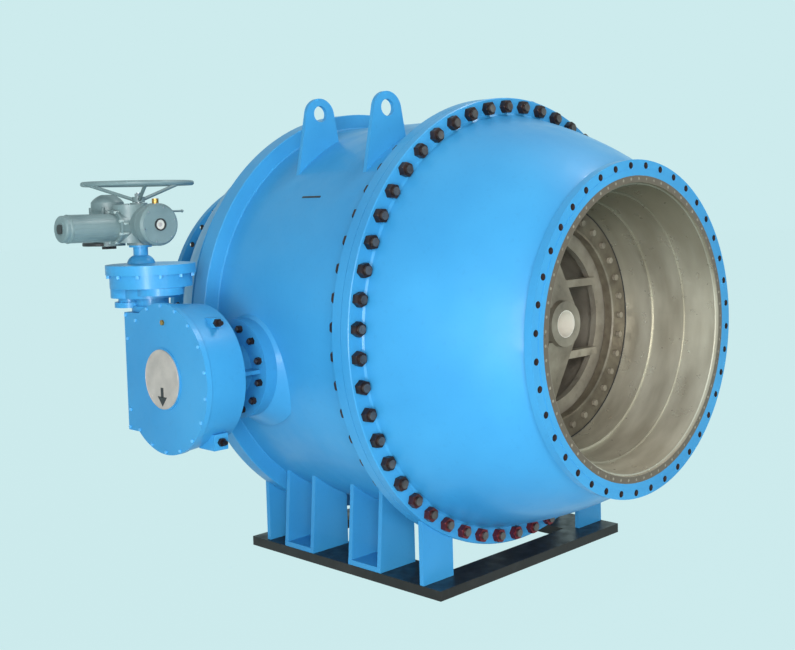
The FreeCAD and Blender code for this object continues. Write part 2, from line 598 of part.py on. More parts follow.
def crankshaft():
    shaft = rod("shaft_radius", "shaft_far_end + shaft_near_end", ("-shaft_at", "-shaft_near_end",
                                                                   "shaft_height"), "y")
    stub = rod("stub_radius", "stub_end", ("-shaft_at", "-stub_end", "shaft_height"), "y")
    piece("crankshaft", joined(shaft, stub))
    pin_x, pin_z = crank_pin_place()
    lean = Rotation(ALONG_Y, num("crank_lean"))
    webs = []
    for near in ("-web_inner - web_thickness", "web_inner"):
        hub = rod("web_hub_radius", "web_thickness", ("-shaft_at", near, "shaft_height"), "y")
        tip = rod("web_pin_radius", "web_thickness", (pin_x, near, pin_z), "y")
        arm = block("2 * web_pin_radius", "web_thickness", "crank_radius",
                    ("-shaft_at - web_pin_radius * cos(crank_lean * 1 deg)", near,
                     "shaft_height + web_pin_radius * sin(crank_lean * 1 deg)"), lean)
        shaft_hole = rod("shaft_radius", "2 * web_thickness", ("-shaft_at", f"{near} - web_thickness / 2",
                                                               "shaft_height"), "y")
        pin_hole = rod("pin_radius", "2 * web_thickness", (pin_x, f"{near} - web_thickness / 2", pin_z),
                       "y")
        webs.append(cut(joined(hub, tip, arm), shaft_hole, pin_hole))
    group("crank_webs", *webs)
    piece("crank_pin", rod("pin_radius", "2 * (web_inner + web_thickness)",
                           (pin_x, "-web_inner - web_thickness", pin_z), "y"))


def slide_block():
    pin_x, pin_z = crank_pin_place()
    half = "web_inner - block_gap"
    body = block("2 * block_half_width", f"2 * ({half})", "2 * block_half_height",
                 (f"{pin_x} - block_half_width", f"-({half})", f"{pin_z} - block_half_height"))
    hole = rod("pin_radius + running_gap", "4 * web_inner", (pin_x, "-2 * web_inner", pin_z), "y")
    return piece("slide_block", cut(body, hole))


def shaft_bushes():
    places = {"shaft_bush_near": "-bulb_bore - bush_length",
              "shaft_bush_far": "shaft_far_end - bush_length"}
    for label, start in places.items():
        outer = rod("shaft_radius + bush_wall", "bush_length", ("-shaft_at", start, "shaft_height"), "y")
        inner = rod("shaft_radius + running_gap", "3 * bush_length", ("-shaft_at", f"{start} - bush_length",
                                                                      "shaft_height"), "y")
        piece(label, cut(outer, inner))


# Worm wheel and worm, both left-handed, with straight flanks thinned for running clearance
worm_sizes = {
    "wheel_teeth": 45, "wheel_module": 12, "wheel_hub_radius": 115, "wheel_hub_stand": 10,
    "worm_pitch_radius": 55, "worm_root_radius": 39, "worm_shaft": 30, "worm_length": 230,
    "worm_foot": -480, "worm_top": 384, "tooth_gap": 1.6, "tooth_root": 1.25, "tooth_top": 0.9,
    "flank_angle": 20}
sizes(worm_sizes)


def worm_place():
    return ("-shaft_at - wheel_teeth * wheel_module / 2 - worm_pitch_radius", "-wheel_at")


def worm_wheel():
    teeth = int(num("wheel_teeth"))
    module = num("wheel_module")
    root, top = num("tooth_root"), num("tooth_top")
    radius = teeth * module / 2
    width = num("wheel_width")
    slope = math.tan(math.radians(num("flank_angle")))
    half = module * math.pi / 4 - num("tooth_gap") / 2
    step = 2 * math.pi / teeth
    twist = width * module / (2 * num("worm_pitch_radius") * radius)
    rims = []
    for end in (-0.5, 0.5):
        corners = []
        for index in range(teeth):
            middle = math.pi + step * (index + 0.5) + end * twist
            for height, side in ((-root, -1), (top, -1), (top, 1), (-root, 1)):
                reach = radius + height * module
                angle = middle + side * (half - height * module * slope) / radius
                corners.append(Vector(reach * math.cos(angle), end * width, reach * math.sin(angle)))
        rims.append(Part.makePolygon(corners + corners[:1]))
    stand = width / 2 + num("wheel_hub_stand")
    hub = Part.makeCylinder(num("wheel_hub_radius"), 2 * stand, Vector(0, -stand, 0), ALONG_Y)
    bore = Part.makeCylinder(num("shaft_radius"), 4 * stand, Vector(0, -2 * stand, 0), ALONG_Y)
    wheel = Part.makeLoft(rims, True, True).fuse(hub).cut(bore)
    return piece("worm_wheel", made(moved(wheel, "-shaft_at", "-wheel_at", "shaft_height")))


def worm():
    module = num("wheel_module")
    pitch = math.pi * module
    radius = num("worm_pitch_radius")
    length = 2 * round(num("worm_length") / pitch / 2) * pitch
    low = num("shaft_height") - length / 2
    slope = math.tan(math.radians(num("flank_angle")))
    half = module * math.pi / 4 - num("tooth_gap") / 2
    sunk, top = num("worm_root_radius - end_gap") - radius, num("tooth_top") * module
    corners = [Vector(radius + height, 0, side * (half - height * slope))
               for height, side in ((sunk, -1), (top, -1), (top, 1), (sunk, 1))]
    path = Part.Wire(Part.makeHelix(pitch, length, radius, 0, True))
    thread = path.makePipeShell([Part.makePolygon(corners + corners[:1])], True, True)
    thread.translate(Vector(0, 0, low))
    core = Part.makeCylinder(num("worm_root_radius"), length + 2 * pitch, Vector(0, 0, low - pitch))
    shaft = Part.makeCylinder(num("worm_shaft"), num("worm_top - worm_foot"), point("0", "0", "worm_foot"))
    return piece("worm", made(moved(core.fuse(shaft).fuse(thread), *worm_place(), "0")))


# Spur gears of the reducer and the input shaft that carries the handwheel
spur_sizes = {
    "spur_module": 4, "spur_wheel_teeth": 50, "pinion_teeth": 20, "spur_width": 56, "spur_foot": 312,
    "spur_across": 138, "spur_gap": 0.5, "input_radius": 20, "input_foot": 282, "wheel_hub_low": 744,
    "wheel_hub_high": 776, "input_end_radius": 12, "input_end": 24}
sizes(spur_sizes)


def input_place():
    across = "(spur_wheel_teeth + pinion_teeth) * spur_module / 2"
    worm_x, worm_y = worm_place()
    return (f"{worm_x} - spur_across", f"{worm_y} + sqrt(({across})^2 - spur_across^2)")


def spur_gear(teeth, turn, place):
    # involute teeth with one centred at the angle given by turn
    module = num("spur_module")
    radius = teeth * module / 2
    base = radius * math.cos(math.radians(num("flank_angle")))
    half = math.pi / (2 * teeth) - num("spur_gap") / (2 * radius)
    spread = math.tan(math.acos(base / radius)) - math.acos(base / radius)
    reaches = [max(base, radius - 1.1 * module), radius - 0.4 * module, radius, radius + 0.5 * module,
               radius + num("tooth_top") * module]
    flank = []
    for reach in reaches:
        lean = math.acos(min(base / max(reach, base), 1))
        flank.append((reach, half + spread - math.tan(lean) + lean))
    flank.insert(0, (radius - num("tooth_root") * module, flank[0][1]))
    corners = []
    for index in range(teeth):
        middle = turn + 2 * math.pi * index / teeth
        for reach, angle in [(reach, -angle) for reach, angle in flank] + flank[::-1]:
            corners.append(Vector(reach * math.cos(middle + angle), reach * math.sin(middle + angle), 0))
    gear = Part.Face(Part.makePolygon(corners + corners[:1])).extrude(point("0", "0", "spur_width"))
    return moved(gear, *place, "spur_foot")


def gear_train():
    worm_x, worm_y = worm_place()
    input_x, input_y = input_place()
    facing = math.atan2(num(input_y) - num(worm_y), num(input_x) - num(worm_x))
    wheel = spur_gear(int(num("spur_wheel_teeth")), facing, (worm_x, worm_y))
    bore = Part.makeCylinder(num("worm_shaft"), num("2 * spur_width"), point(worm_x, worm_y,
                                                                             "spur_foot - over"))
    piece("spur_wheel", made(wheel.cut(bore)))
    pinion_teeth = int(num("pinion_teeth"))
    pinion = spur_gear(pinion_teeth, facing + math.pi + math.pi / pinion_teeth, (input_x, input_y))
    bore = Part.makeCylinder(num("input_radius"), num("2 * spur_width"), point(input_x, input_y,
                                                                               "spur_foot - over"))
    piece("input_pinion", made(pinion.cut(bore)))
    shaft = rod("input_radius", "wheel_hub_high - input_foot", (input_x, input_y, "input_foot"), "z")
    end = rod("input_end_radius", "input_end", (input_x, input_y, "wheel_hub_high"), "z")
    piece("input_shaft", joined(shaft, end))


# Spool between the boss and the gearbox, with its studs, nuts and shaft seal
spool_sizes = {
    "spool_flange_radius": 280, "spool_flange": 35, "spool_radius": 150, "spool_rear_radius": 230,
    "casing_rear": 1497, "boss_nut_across": 36, "boss_nut_height": 24, "boss_stud_end": 8,
    "spool_rib_out": 226, "spool_rib": 22}
sizes(spool_sizes)


def drive_spool():
    spool = turned(
        [("-boss_face", "tunnel_bore"),
         ("-boss_face", "spool_flange_radius"),
         ("-boss_face - spool_flange", "spool_flange_radius"),
         ("-boss_face - spool_flange", "spool_radius"),
         ("spool_flange - casing_rear", "spool_radius"),
         ("spool_flange - casing_rear", "spool_rear_radius"),
         ("-casing_rear", "spool_rear_radius"),
         ("-casing_rear", "tunnel_bore")], at=("-shaft_at", "0", "shaft_height"), axis="y")
    drilled(spool, "boss_stud + stud_room", "boss_circle", "boss_bolts", "boss_first",
            "-boss_face - spool_flange / 2", "spool_flange / 2 + end_gap")
    width = "casing_rear - boss_face - spool_flange"
    level = block("2 * spool_rib_out", width, "spool_rib",
                  ("-shaft_at - spool_rib_out", "spool_flange / 2 - casing_rear",
                   "shaft_height - spool_rib / 2"))
    upright = block("spool_rib", width, "2 * spool_rib_out",
                    ("-shaft_at - spool_rib / 2", "spool_flange / 2 - casing_rear",
                     "shaft_height - spool_rib_out"))
    core = rod("tunnel_bore", "casing_rear", ("-shaft_at", "-casing_rear - over", "shaft_height"), "y")
    piece("drive_spool", joined(spool, cut(joined(level, upright), core)))
    centre = point("-shaft_at", "0", "shaft_height")
    start = "-boss_face - spool_flange - boss_nut_height - boss_stud_end"
    stud = Part.makeCylinder(num("boss_stud"), num(f"boss_stud_depth - boss_face - ({start})"),
                             point("-shaft_at", start, "shaft_height + boss_circle"), ALONG_Y)
    nut = hexagon("boss_nut_across", "boss_nut_height", "boss_stud + thread_gap")
    nut.rotate(CENTRE, ALONG_Z, -90)
    nut = moved(nut, "-shaft_at", "-boss_face - spool_flange", "shaft_height + boss_circle")
    piece("boss_studs", made(*around(stud, ALONG_Y, centre, "boss_bolts", "boss_first")))
    piece("boss_nuts", made(*around(nut, ALONG_Y, centre, "boss_bolts", "boss_first")))
    ring = rod("tunnel_bore - fit_gap", "boss_face - tunnel_end", ("-shaft_at", "-boss_face",
                                                                   "shaft_height"), "y")
    hole = rod("shaft_radius + 3 * fit_gap", "boss_face", ("-shaft_at", "-boss_face - over",
                                                           "shaft_height"), "y")
    piece("shaft_seal", cut(ring, hole))


# Worm gearbox: round casing with a flat side and the worm's housing, cover, plates and screws
gearbox_sizes = {
    "gearbox_front": 1750, "cover_thickness": 30, "casing_rear_radius": 382,
    "casing_front_radius": 402, "casing_wall": 24, "casing_hollow": 352, "worm_hollow": 78,
    "lobe_wall": 10, "housing_left": 42, "housing_right": 140, "block_top": 142, "block_foot": -512,
    "cover_radius": 407, "screw_circle": 393, "cover_screws": 18, "cover_screw_first": 0,
    "cover_screw_head": 8, "cover_screw_height": 7, "plate_radius": 160, "plate_thickness": 4,
    "plate_boss": 168, "plate_boss_height": 6, "stop_across": 289, "stop_up": 304, "stop_down": 328,
    "stop_pad": 86, "stop_pad_top": 50, "stop_pad_length": 140, "stop_radius": 12, "stop_head": 20,
    "stop_length": 70, "stop_end": 26, "stop_depth": 1600, "plug_up": 305, "plug_right": 18,
    "plug_bore": 11, "vent_head": 13,
    "vent_height": 10, "plug_sunk": 20, "worm_hollow_length": 360}
sizes(gearbox_sizes)


def housing_block(front, depth):
    worm_x = worm_place()[0]
    return block("housing_left + housing_right", depth, "block_top - block_foot",
                 (f"{worm_x} - housing_left", f"-({front})", "block_foot"))


def past_flat():
    # all that lies beyond the flat side of the gearbox
    worm_x = worm_place()[0]
    return block("cover_radius", "gearbox_front", "3 * cover_radius",
                 (f"{worm_x} - housing_left - cover_radius", "-gearbox_front - over",
                  "shaft_height - 1.5 * cover_radius"))


def gearbox_casing():
    worm_x, worm_y = worm_place()
    front = "gearbox_front - cover_thickness"
    depth = "gearbox_front - cover_thickness - casing_rear"
    cone = taper("casing_front_radius", "casing_rear_radius", depth, ("-shaft_at", f"-({front})",
                                                                      "shaft_height"), "y")
    lobe = rod("worm_hollow + lobe_wall", "block_top - block_foot", (worm_x, worm_y, "block_foot"), "z")
    pads = []
    stops = []
    for height, pad in (("stop_up", "stop_pad_top"), ("-stop_down", "stop_pad")):
        pads.append(block("stop_pad_length", pad, pad,
                          ("stop_across - stop_pad_length - shaft_at", f"-stop_depth - {pad} / 2",
                           f"shaft_height + ({height}) - {pad} / 2")))
        stops.append(rod("stop_radius + fit_gap", "stop_length + over",
                         ("stop_across - stop_length - end_gap - shaft_at", "-stop_depth",
                          f"shaft_height + ({height})")))
    hollow = rod("casing_hollow", f"{depth} - casing_wall + over",
                 ("-shaft_at", f"-({front}) - over", "shaft_height"), "y")
    worm_way = rod("worm_hollow", "worm_hollow_length",
                   (worm_x, worm_y, "shaft_height - worm_hollow_length / 2"), "z")
    worm_bore = rod("worm_shaft + running_gap", "block_top - worm_foot + over",
                    (worm_x, worm_y, "worm_foot - end_gap"), "z")
    shaft_bore = rod("shaft_radius + running_gap", "4 * casing_wall",
                     ("-shaft_at", "-casing_rear - 2 * casing_wall", "shaft_height"), "y")
    whole = joined(cut(cone, past_flat()), housing_block(front, depth), lobe, *pads)
    return piece("gearbox_casing", cut(whole, hollow, worm_way, worm_bore, shaft_bore, *stops))


def gearbox_cover():
    worm_x = worm_place()[0]
    disc = cut(rod("cover_radius", "cover_thickness", ("-shaft_at", "-gearbox_front", "shaft_height"), "y"),
               past_flat())
    boss = rod("plate_boss", "plate_boss_height", ("-shaft_at", "-gearbox_front - plate_boss_height",
                                                   "shaft_height"), "y")
    socket = rod("stub_radius + running_gap", "stub_length",
                 ("-shaft_at", "cover_thickness - gearbox_front - stub_length", "shaft_height"), "y")
    sink = rod("plug_bore", "plug_sunk", ("plug_right - shaft_at", "-gearbox_front",
                                          "shaft_height + plug_up"), "y")
    whole = joined(disc, boss, housing_block("gearbox_front", "cover_thickness"))
    piece("gearbox_cover", cut(whole, socket, sink))
    piece("indicator_plate", rod("plate_radius", "plate_thickness",
                                 ("-shaft_at", "-gearbox_front - plate_boss_height - plate_thickness",
                                  "shaft_height"), "y"))
    head = hexagon("2 * cover_screw_head", "cover_screw_height")
    head.rotate(CENTRE, ALONG_Z, -90)
    first = moved(head, "-shaft_at", "-gearbox_front", "shaft_height + screw_circle")
    ring = around(first, ALONG_Y, point("-shaft_at", "0", "shaft_height"), "cover_screws",
                  "cover_screw_first")
    edge = num(f"{worm_x} - housing_left + cover_screw_head")
    heads = [item for item in ring if item.BoundBox.Center.x > edge]
    for height in ("block_top - 2 * cover_screw_head", "block_foot + 2 * cover_screw_head"):
        heads.append(moved(head, f"{worm_x} - housing_left + 2 * cover_screw_head", "-gearbox_front",
                           height))
    piece("cover_screws", made(*heads))
    neck = Part.makeCylinder(num("plug_bore"), num("plug_sunk"), CENTRE, ALONG_Y)
    plug = hexagon("2 * vent_head", "vent_height")
    plug.rotate(CENTRE, ALONG_Z, -90)
    piece("vent_plug", made(moved(plug.fuse(neck), "plug_right - shaft_at", "-gearbox_front",
                                  "shaft_height + plug_up")))
    shank = Part.makeCylinder(num("stop_radius"), num("stop_length + stop_head + stop_end"),
                              point("-stop_length", "0", "0"), ALONG_X)
    bolt = hexagon("2 * stop_head", "stop_head").fuse(shank)
    piece("stop_screws", made(*[moved(bolt, "stop_across - shaft_at", "-stop_depth",
                                      f"shaft_height + ({height})")
                                for height in ("stop_up", "-stop_down")]))


# Spur reducer standing on the worm's housing, and the column up to the actuator
reducer_sizes = {
    "pedestal_radius": 90, "pedestal_left": -100, "pedestal_front": -76, "pedestal_flange": 30,
    "pedestal_lift": 20, "pedestal_small_radius": 84, "box_low_radius": 104, "box_core_radius": 150,
    "box_low_foot": 216, "box_foot": 274, "box_seam": 348, "box_top": 401, "box_radius": 242,
    "box_wall": 16, "box_lip": 20, "sump_right": 109, "sump_front": -13, "sump_radius": 124,
    "sump_foot": 234, "box_bolts": 12, "box_bolt_first": 11, "box_bolt_head": 8.4, "box_bolt_height": 18,
    "dome_radius": 77, "dome_top": 446, "dome_bend": 60, "neck_radius": 40, "neck_top": 492,
    "head_radius": 62, "head_thickness": 12, "column_bore": 26}
sizes(reducer_sizes)


def spur_box():
    worm_x, worm_y = worm_place()
    input_x, input_y = input_place()
    left, front = f"{worm_x} + pedestal_left", f"{worm_y} + pedestal_front"
    right = (f"{worm_x} + sump_right", f"{worm_y} + sump_front", "sump_foot")
    layers = [rod("pedestal_radius + 2 * over", "pedestal_flange", (worm_x, worm_y, "block_top"), "z"),
              rod("pedestal_small_radius", "pedestal_flange", (left, front, "block_top + pedestal_lift"),
                  "z"),
              rod("pedestal_radius", "box_low_foot - block_top", (worm_x, worm_y, "block_top"), "z"),
              rod("pedestal_small_radius - 2 * over", "box_low_foot - block_top - pedestal_lift",
                  (left, front, "block_top + pedestal_lift"), "z"),
              rod("box_core_radius", "box_foot - box_low_foot", (worm_x, worm_y, "box_low_foot"), "z"),
              rod("box_low_radius", "box_foot - box_low_foot", (left, front, "box_low_foot"), "z"),
              rod("sump_radius", "box_foot - sump_foot", right, "z"),
              rod("box_radius - box_lip", "box_seam - box_foot", (worm_x, worm_y, "box_foot"), "z")]
    hollow = rod("box_radius - box_lip - box_wall", "box_seam", (worm_x, worm_y, "box_foot + box_wall"),
                 "z")
    worm_bore = rod("worm_shaft + running_gap", "box_seam", (worm_x, worm_y, "block_top - over"), "z")
    input_bore = rod("input_radius + running_gap", "box_seam", (input_x, input_y, "input_foot - end_gap"),
                     "z")
    piece("spur_housing", cut(joined(*layers), hollow, worm_bore, input_bore))
    head = hexagon("2 * box_bolt_head", "box_bolt_height")
    head.rotate(CENTRE, ALONG_Y, 90)
    head = moved(head, worm_x, f"{worm_y} + box_radius - box_lip / 2", "box_seam")
    heads = []
    for index in range(int(num("box_bolts"))):
        copy = head.copy()
        copy.rotate(point(worm_x, worm_y, "0"), ALONG_Z,
                    num("box_bolt_first") + 360 * index / num("box_bolts"))
        heads.append(copy)
    piece("spur_bolts", made(*heads))
    disc = rod("box_radius", "box_top - box_seam", (worm_x, worm_y, "box_seam"), "z")
    room = rod("box_radius - box_lip - box_wall", "box_top - box_seam - box_wall + over",
               (worm_x, worm_y, "box_seam - over"), "z")
    bore = rod("input_radius + running_gap", "box_top", (input_x, input_y, "box_seam"), "z")
    piece("spur_cover", cut(disc, room, bore))


def input_column():
    column = turned(
        [("box_top", "column_bore"),
         ("box_top", "dome_radius", "dome_bend", 1),
         ("dome_top", "neck_radius"),
         ("neck_top", "neck_radius"),
         ("neck_top", "head_radius"),
         ("neck_top + head_thickness", "head_radius"),
         ("neck_top + head_thickness", "column_bore")], at=(*input_place(), "0"), axis="z")
    return piece("input_column", column)


# Electric actuator: gear case, round switch cover with a window, motor and terminal box
actuator_sizes = {
    "case_radius": 108, "case_back": 60, "case_front": 145, "case_height": 619, "case_wall": 14,
    "gear_radius": 92, "gear_out": 60, "gear_top": 733, "foot_radius": 72, "foot_thickness": 16,
    "foot_neck": 58, "switch_radius": 117, "switch_depth": 70, "switch_skin": 10, "switch_bevel": 12,
    "window_radius": 27, "window_thickness": 8, "motor_radius": 76, "motor_at": 152, "motor_end": 440,
    "motor_height": 608, "motor_flange": 88, "motor_flange_thickness": 14, "motor_cap": 34,
    "motor_bend": 60, "motor_plug": 26, "motor_plug_height": 6, "terminal_left": 196,
    "terminal_out": 82, "terminal_radius": 90, "terminal_foot": 500, "terminal_top": 748,
    "terminal_dome": 44, "terminal_bend": 110, "arm_width": 124, "arm_height": 130,
    "gland_radius": 20, "gland_length": 18, "gland_apart": 44, "knob_right": 150, "knob_back": 14,
    "knob_radius": 18, "knob_top": 764, "wheel_neck": 48, "cap_radius": 24, "cap_height": 6,
    "cap_left": 10, "cap_out": 80}
sizes(actuator_sizes)


def actuator_case():
    x, y = input_place()
    foot = "neck_top + head_thickness"
    terminal = (f"{x} - terminal_left", f"{y} - terminal_out", "terminal_foot")
    base = rod("foot_radius", "foot_thickness", (x, y, foot), "z")
    neck = rod("foot_neck", f"case_height - ({foot})", (x, y, foot), "z")
    drum = rod("case_radius", "case_back + case_front", (f"{x} - case_back", y, "case_height"))
    gears = rod("gear_radius", f"gear_top - ({foot}) - foot_thickness", (x, f"{y} - gear_out",
                                                                         f"{foot} + foot_thickness"), "z")
    motor_pad = rod("motor_flange", "motor_at - gear_out", (x, f"{y} - motor_at", "motor_height"), "y")
    arm = block("terminal_left", "arm_width", "arm_height",
                (f"{x} - terminal_left", f"{y} - terminal_out - arm_width / 2",
                 "case_height - arm_height / 2"))
    top = rod("wheel_neck", "wheel_hub_low - case_height - end_gap", (x, y, "case_height"), "z")
    cap = rod("cap_radius", "cap_height", (f"{x} - cap_left", f"{y} - cap_out", "gear_top"), "z")
    hollow = rod("case_radius - case_wall", "case_front + case_back", (f"{x} - case_back + case_wall", y,
                                                                       "case_height"))
    bore = rod("input_radius + running_gap", "wheel_hub_low", (x, y, f"{foot} - over"), "z")
    box_room = rod("terminal_radius", "terminal_top - terminal_foot", terminal, "z")
    whole = joined(base, neck, drum, gears, motor_pad, top, cap, cut(arm, box_room), *lever_ears())
    return piece("actuator_case", cut(whole, hollow, bore, lever_pin_room()))


def actuator_ends():
    x, y = input_place()
    cover = turned(
        [("case_front", "case_radius - case_wall"),
         ("case_front", "switch_radius"),
         ("case_front + switch_depth - switch_bevel", "switch_radius"),
         ("case_front + switch_depth", "switch_radius - switch_bevel"),
         ("case_front + switch_depth", "window_radius"),
         ("case_front + switch_depth - switch_skin", "window_radius"),
         ("case_front + switch_depth - switch_skin", "case_radius - case_wall")], at=(x, y, "case_height"))
    piece("switch_cover", cover)
    piece("window", rod("window_radius", "window_thickness",
                        (f"{x} + case_front + switch_depth - switch_skin", y, "case_height")))
    motor = turned(
        [("-motor_at", "0"),
         ("-motor_at", "motor_flange"),
         ("-motor_at - motor_flange_thickness", "motor_flange"),
         ("-motor_at - motor_flange_thickness", "motor_radius"),
         ("-motor_end", "motor_radius", "motor_bend", -1),
         ("-motor_end - motor_cap", "motor_plug + over"),
         ("-motor_end - motor_cap", "0")], at=(x, y, "motor_height"), axis="y")
    plug = rod("motor_plug", "motor_plug_height + motor_cap",
               (x, f"{y} - motor_end - motor_cap - motor_plug_height", "motor_height"), "y")
    piece("motor", joined(motor, plug))
    terminal = (f"{x} - terminal_left", f"{y} - terminal_out", "0")
    box = turned(
        [("terminal_foot", "0"),
         ("terminal_foot", "terminal_radius"),
         ("terminal_top", "terminal_radius", "terminal_bend", 1),
         ("terminal_top + terminal_dome", "terminal_radius / 3"),
         ("terminal_top + terminal_dome", "0")], at=terminal, axis="z")
    piece("terminal_box", box)
    glands = []
    for side in (-0.5, 0.5):
        nut = hexagon("2 * gland_radius", "gland_length")
        nut.rotate(CENTRE, ALONG_Y, 90)
        glands.append(moved(nut, terminal[0], f"{terminal[1]} + ({side}) * gland_apart", "terminal_foot"))
    piece("cable_glands", made(*glands))
    knob = rod("knob_radius", "knob_top - case_height", (f"{x} + knob_right", f"{y} + knob_back",
                                                         "case_height"), "z")
    drum_room = rod("switch_radius", "2 * case_front", (x, y, "case_height"))
    piece("brass_plug", cut(knob, drum_room))


# Handwheel with sloping spokes, its nut, and the sprung declutch lever on the far side
wheel_sizes = {
    "rim_radius": 293, "rim_tube": 14, "rim_height": 850, "hub_radius_top": 34, "spokes": 3,
    "spoke_first": 218, "spoke_radius": 10, "hub_nut_across": 40, "hub_nut_height": 18,
    "lever_right": 60, "lever_out": 122, "lever_up": 71, "lever_reach": 118, "lever_radius": 6,
    "lever_boss": 18, "lever_boss_length": 26, "lever_pin_radius": 7, "ear_thickness": 14,
    "ear_gap": 0.5, "ear_root": 70, "lever_knob": 9}
sizes(wheel_sizes)


def handwheel():
    x, y = input_place()
    ring = doc.addObject("Part::Torus", "rim")
    bind(ring, Radius1="rim_radius", Radius2="rim_tube")
    seat(ring, (x, y, "rim_height"), Rotation())
    hub = rod("hub_radius_top", "wheel_hub_high - wheel_hub_low", (x, y, "wheel_hub_low"), "z")
    bore = rod("input_radius", "2 * wheel_hub_high - 2 * wheel_hub_low", (x, y, "wheel_hub_low - over"),
               "z")
    low = num("(wheel_hub_low + wheel_hub_high) / 2")
    bars = []
    for index in range(int(num("spokes"))):
        turn = math.radians(num("spoke_first") + 360 * index / num("spokes"))
        out = Vector(math.cos(turn), math.sin(turn), 0)
        start = out * num("hub_radius_top - spoke_radius / 2") + Vector(0, 0, low)
        end = out * num("rim_radius") + point("0", "0", "rim_height")
        bars.append(moved(Part.makeCylinder(num("spoke_radius"), start.distanceToPoint(end), start,
                                            end - start), x, y, "0"))
    piece("handwheel", cut(joined(ring, hub, made(*bars)), bore))
    nut = hexagon("hub_nut_across", "hub_nut_height", "input_end_radius")
    nut.rotate(CENTRE, ALONG_Y, -90)
    piece("hub_nut", made(moved(nut, x, y, "wheel_hub_high")))


def lever_ears():
    x, y = input_place()
    ears = []
    for offset in ("lever_boss_length / 2 + ear_gap", "-lever_boss_length / 2 - ear_gap - ear_thickness"):
        ears.append(block("ear_thickness", "lever_out + lever_boss - ear_root", "2 * lever_boss",
                          (f"{x} + lever_right + {offset}", f"{y} + ear_root",
                           "case_height + lever_up - lever_boss")))
    return ears


def lever_pin_room():
    x, y = input_place()
    length = "lever_boss_length + 2 * ear_gap + 2 * ear_thickness"
    return rod("lever_pin_radius", length, (f"{x} + lever_right - ({length}) / 2", f"{y} + lever_out",
                                            "case_height + lever_up"))


def declutch_lever():
    x, y = input_place()
    place = (f"{x} + lever_right - lever_boss_length / 2", f"{y} + lever_out", "case_height + lever_up")
    boss = rod("lever_boss", "lever_boss_length", place)
    hole = rod("lever_pin_radius + running_gap", "2 * lever_boss_length",
               (f"{x} + lever_right - lever_boss_length", *place[1:]))
    arm = rod("lever_radius", "lever_reach", (f"{x} + lever_right", *place[1:]), "y")
    ball = doc.addObject("Part::Sphere", "knob")
    bind(ball, Radius="lever_knob")
    seat(ball, (f"{x} + lever_right", f"{y} + lever_out + lever_reach", "case_height + lever_up"),
         Rotation())
    piece("declutch_lever", cut(joined(boss, arm, ball), hole))
    piece("lever_pin", lever_pin_room())


# Lifting lugs, legs, feet and base frame
support_sizes = {
    "lug_front_at": 1290, "lug_rear_at": 1880, "lug_thickness": 25, "lug_foot_up": 880,
    "lug_foot_out": 806, "lug_foot_in": 455, "lug_out": 732, "lug_in": 524, "lug_side_up": 1248,
    "lug_round": 105, "lug_hole": 48, "lug_hole_out": 629, "lug_hole_up": 1246,
    "base_top": -1379.5, "base_thickness": 56, "base_front_at": 768, "base_rear_at": 2442,
    "base_half": 806, "base_cross": 207, "base_strip": 300,
    "leg_thickness": 30, "inlet_leg_in": 635, "inlet_leg_out": 785, "inlet_leg_up": 850,
    "outlet_leg_at": 900, "outlet_leg_in": 570, "outlet_leg_out": 803, "outlet_leg_up": 950,
    "foot_out": 803, "foot_in": 530, "foot_top_out": 765, "foot_up": 880, "foot_plate": 30,
    "rear_foot_at": 1844, "rear_foot_end_at": 2116, "front_foot_at": 1249, "front_foot_end_at": 1526}
sizes(support_sizes)


def plate(outline, thickness, at):
    # a flat plate across the flow, drawn as (sideways, up) and padded towards +X
    body = doc.addObject("PartDesign::Body", "plate")
    sketch = body.newObject("Sketcher::SketchObject", "outline")
    sketch.AttachmentSupport = [(origin_part(body, "YZ_Plane"), "")]
    sketch.MapMode = "FlatFace"
    draw(sketch, outline)
    pad = body.newObject("PartDesign::Pad", "pad")
    pad.Profile = sketch
    bind(pad, Length=thickness)
    return seat(body, (at, "0", "0"), Rotation())


def group(label, *items):
    item = doc.addObject("Part::Compound", "group")
    item.Links = list(items)
    return piece(label, item)


def shell_room():
    return rod("shell_radius", "shell_end_at", ("-shell_end_at", "0", "0"))


def lifting_lugs():
    lugs = []
    for at in ("lug_front_at", "lug_rear_at"):
        for side in (1, -1):
            outline = [("lug_foot_out", "lug_foot_up"), ("lug_out", "lug_side_up", "lug_round", -side),
                       ("lug_in", "lug_side_up"), ("lug_foot_in", "lug_foot_up")]
            outline = [(f"{side} * {out}", up, *arc) for out, up, *arc in outline]
            lug = plate(outline, "lug_thickness", f"-{at}")
            hole = rod("lug_hole", "3 * lug_thickness", (f"-{at} - lug_thickness", f"{side} * lug_hole_out",
                                                         "lug_hole_up"))
            lugs.append(cut(lug, shell_room(), hole))
    return group("lifting_lugs", *lugs)


def legs():
    inlet = []
    outlet = []
    rim = rod("joint_radius", "outlet_leg_at", ("-2 * outlet_leg_at", "0", "0"))
    for side in (1, -1):
        start = "inlet_leg_in" if side > 0 else "-inlet_leg_out"
        leg = block("leg_thickness", "inlet_leg_out - inlet_leg_in", "-inlet_leg_up - base_top",
                    ("-band_at - band_width - leg_thickness", start, "base_top"))
        inlet.append(cut(leg, shell_room()))
        start = "outlet_leg_in" if side > 0 else "-outlet_leg_out"
        leg = block("leg_thickness", "outlet_leg_out - outlet_leg_in", "-outlet_leg_up - base_top",
                    ("-outlet_leg_at - leg_thickness", start, "base_top"))
        outlet.append(cut(leg, rim))
    group("end_legs", *inlet, *outlet)


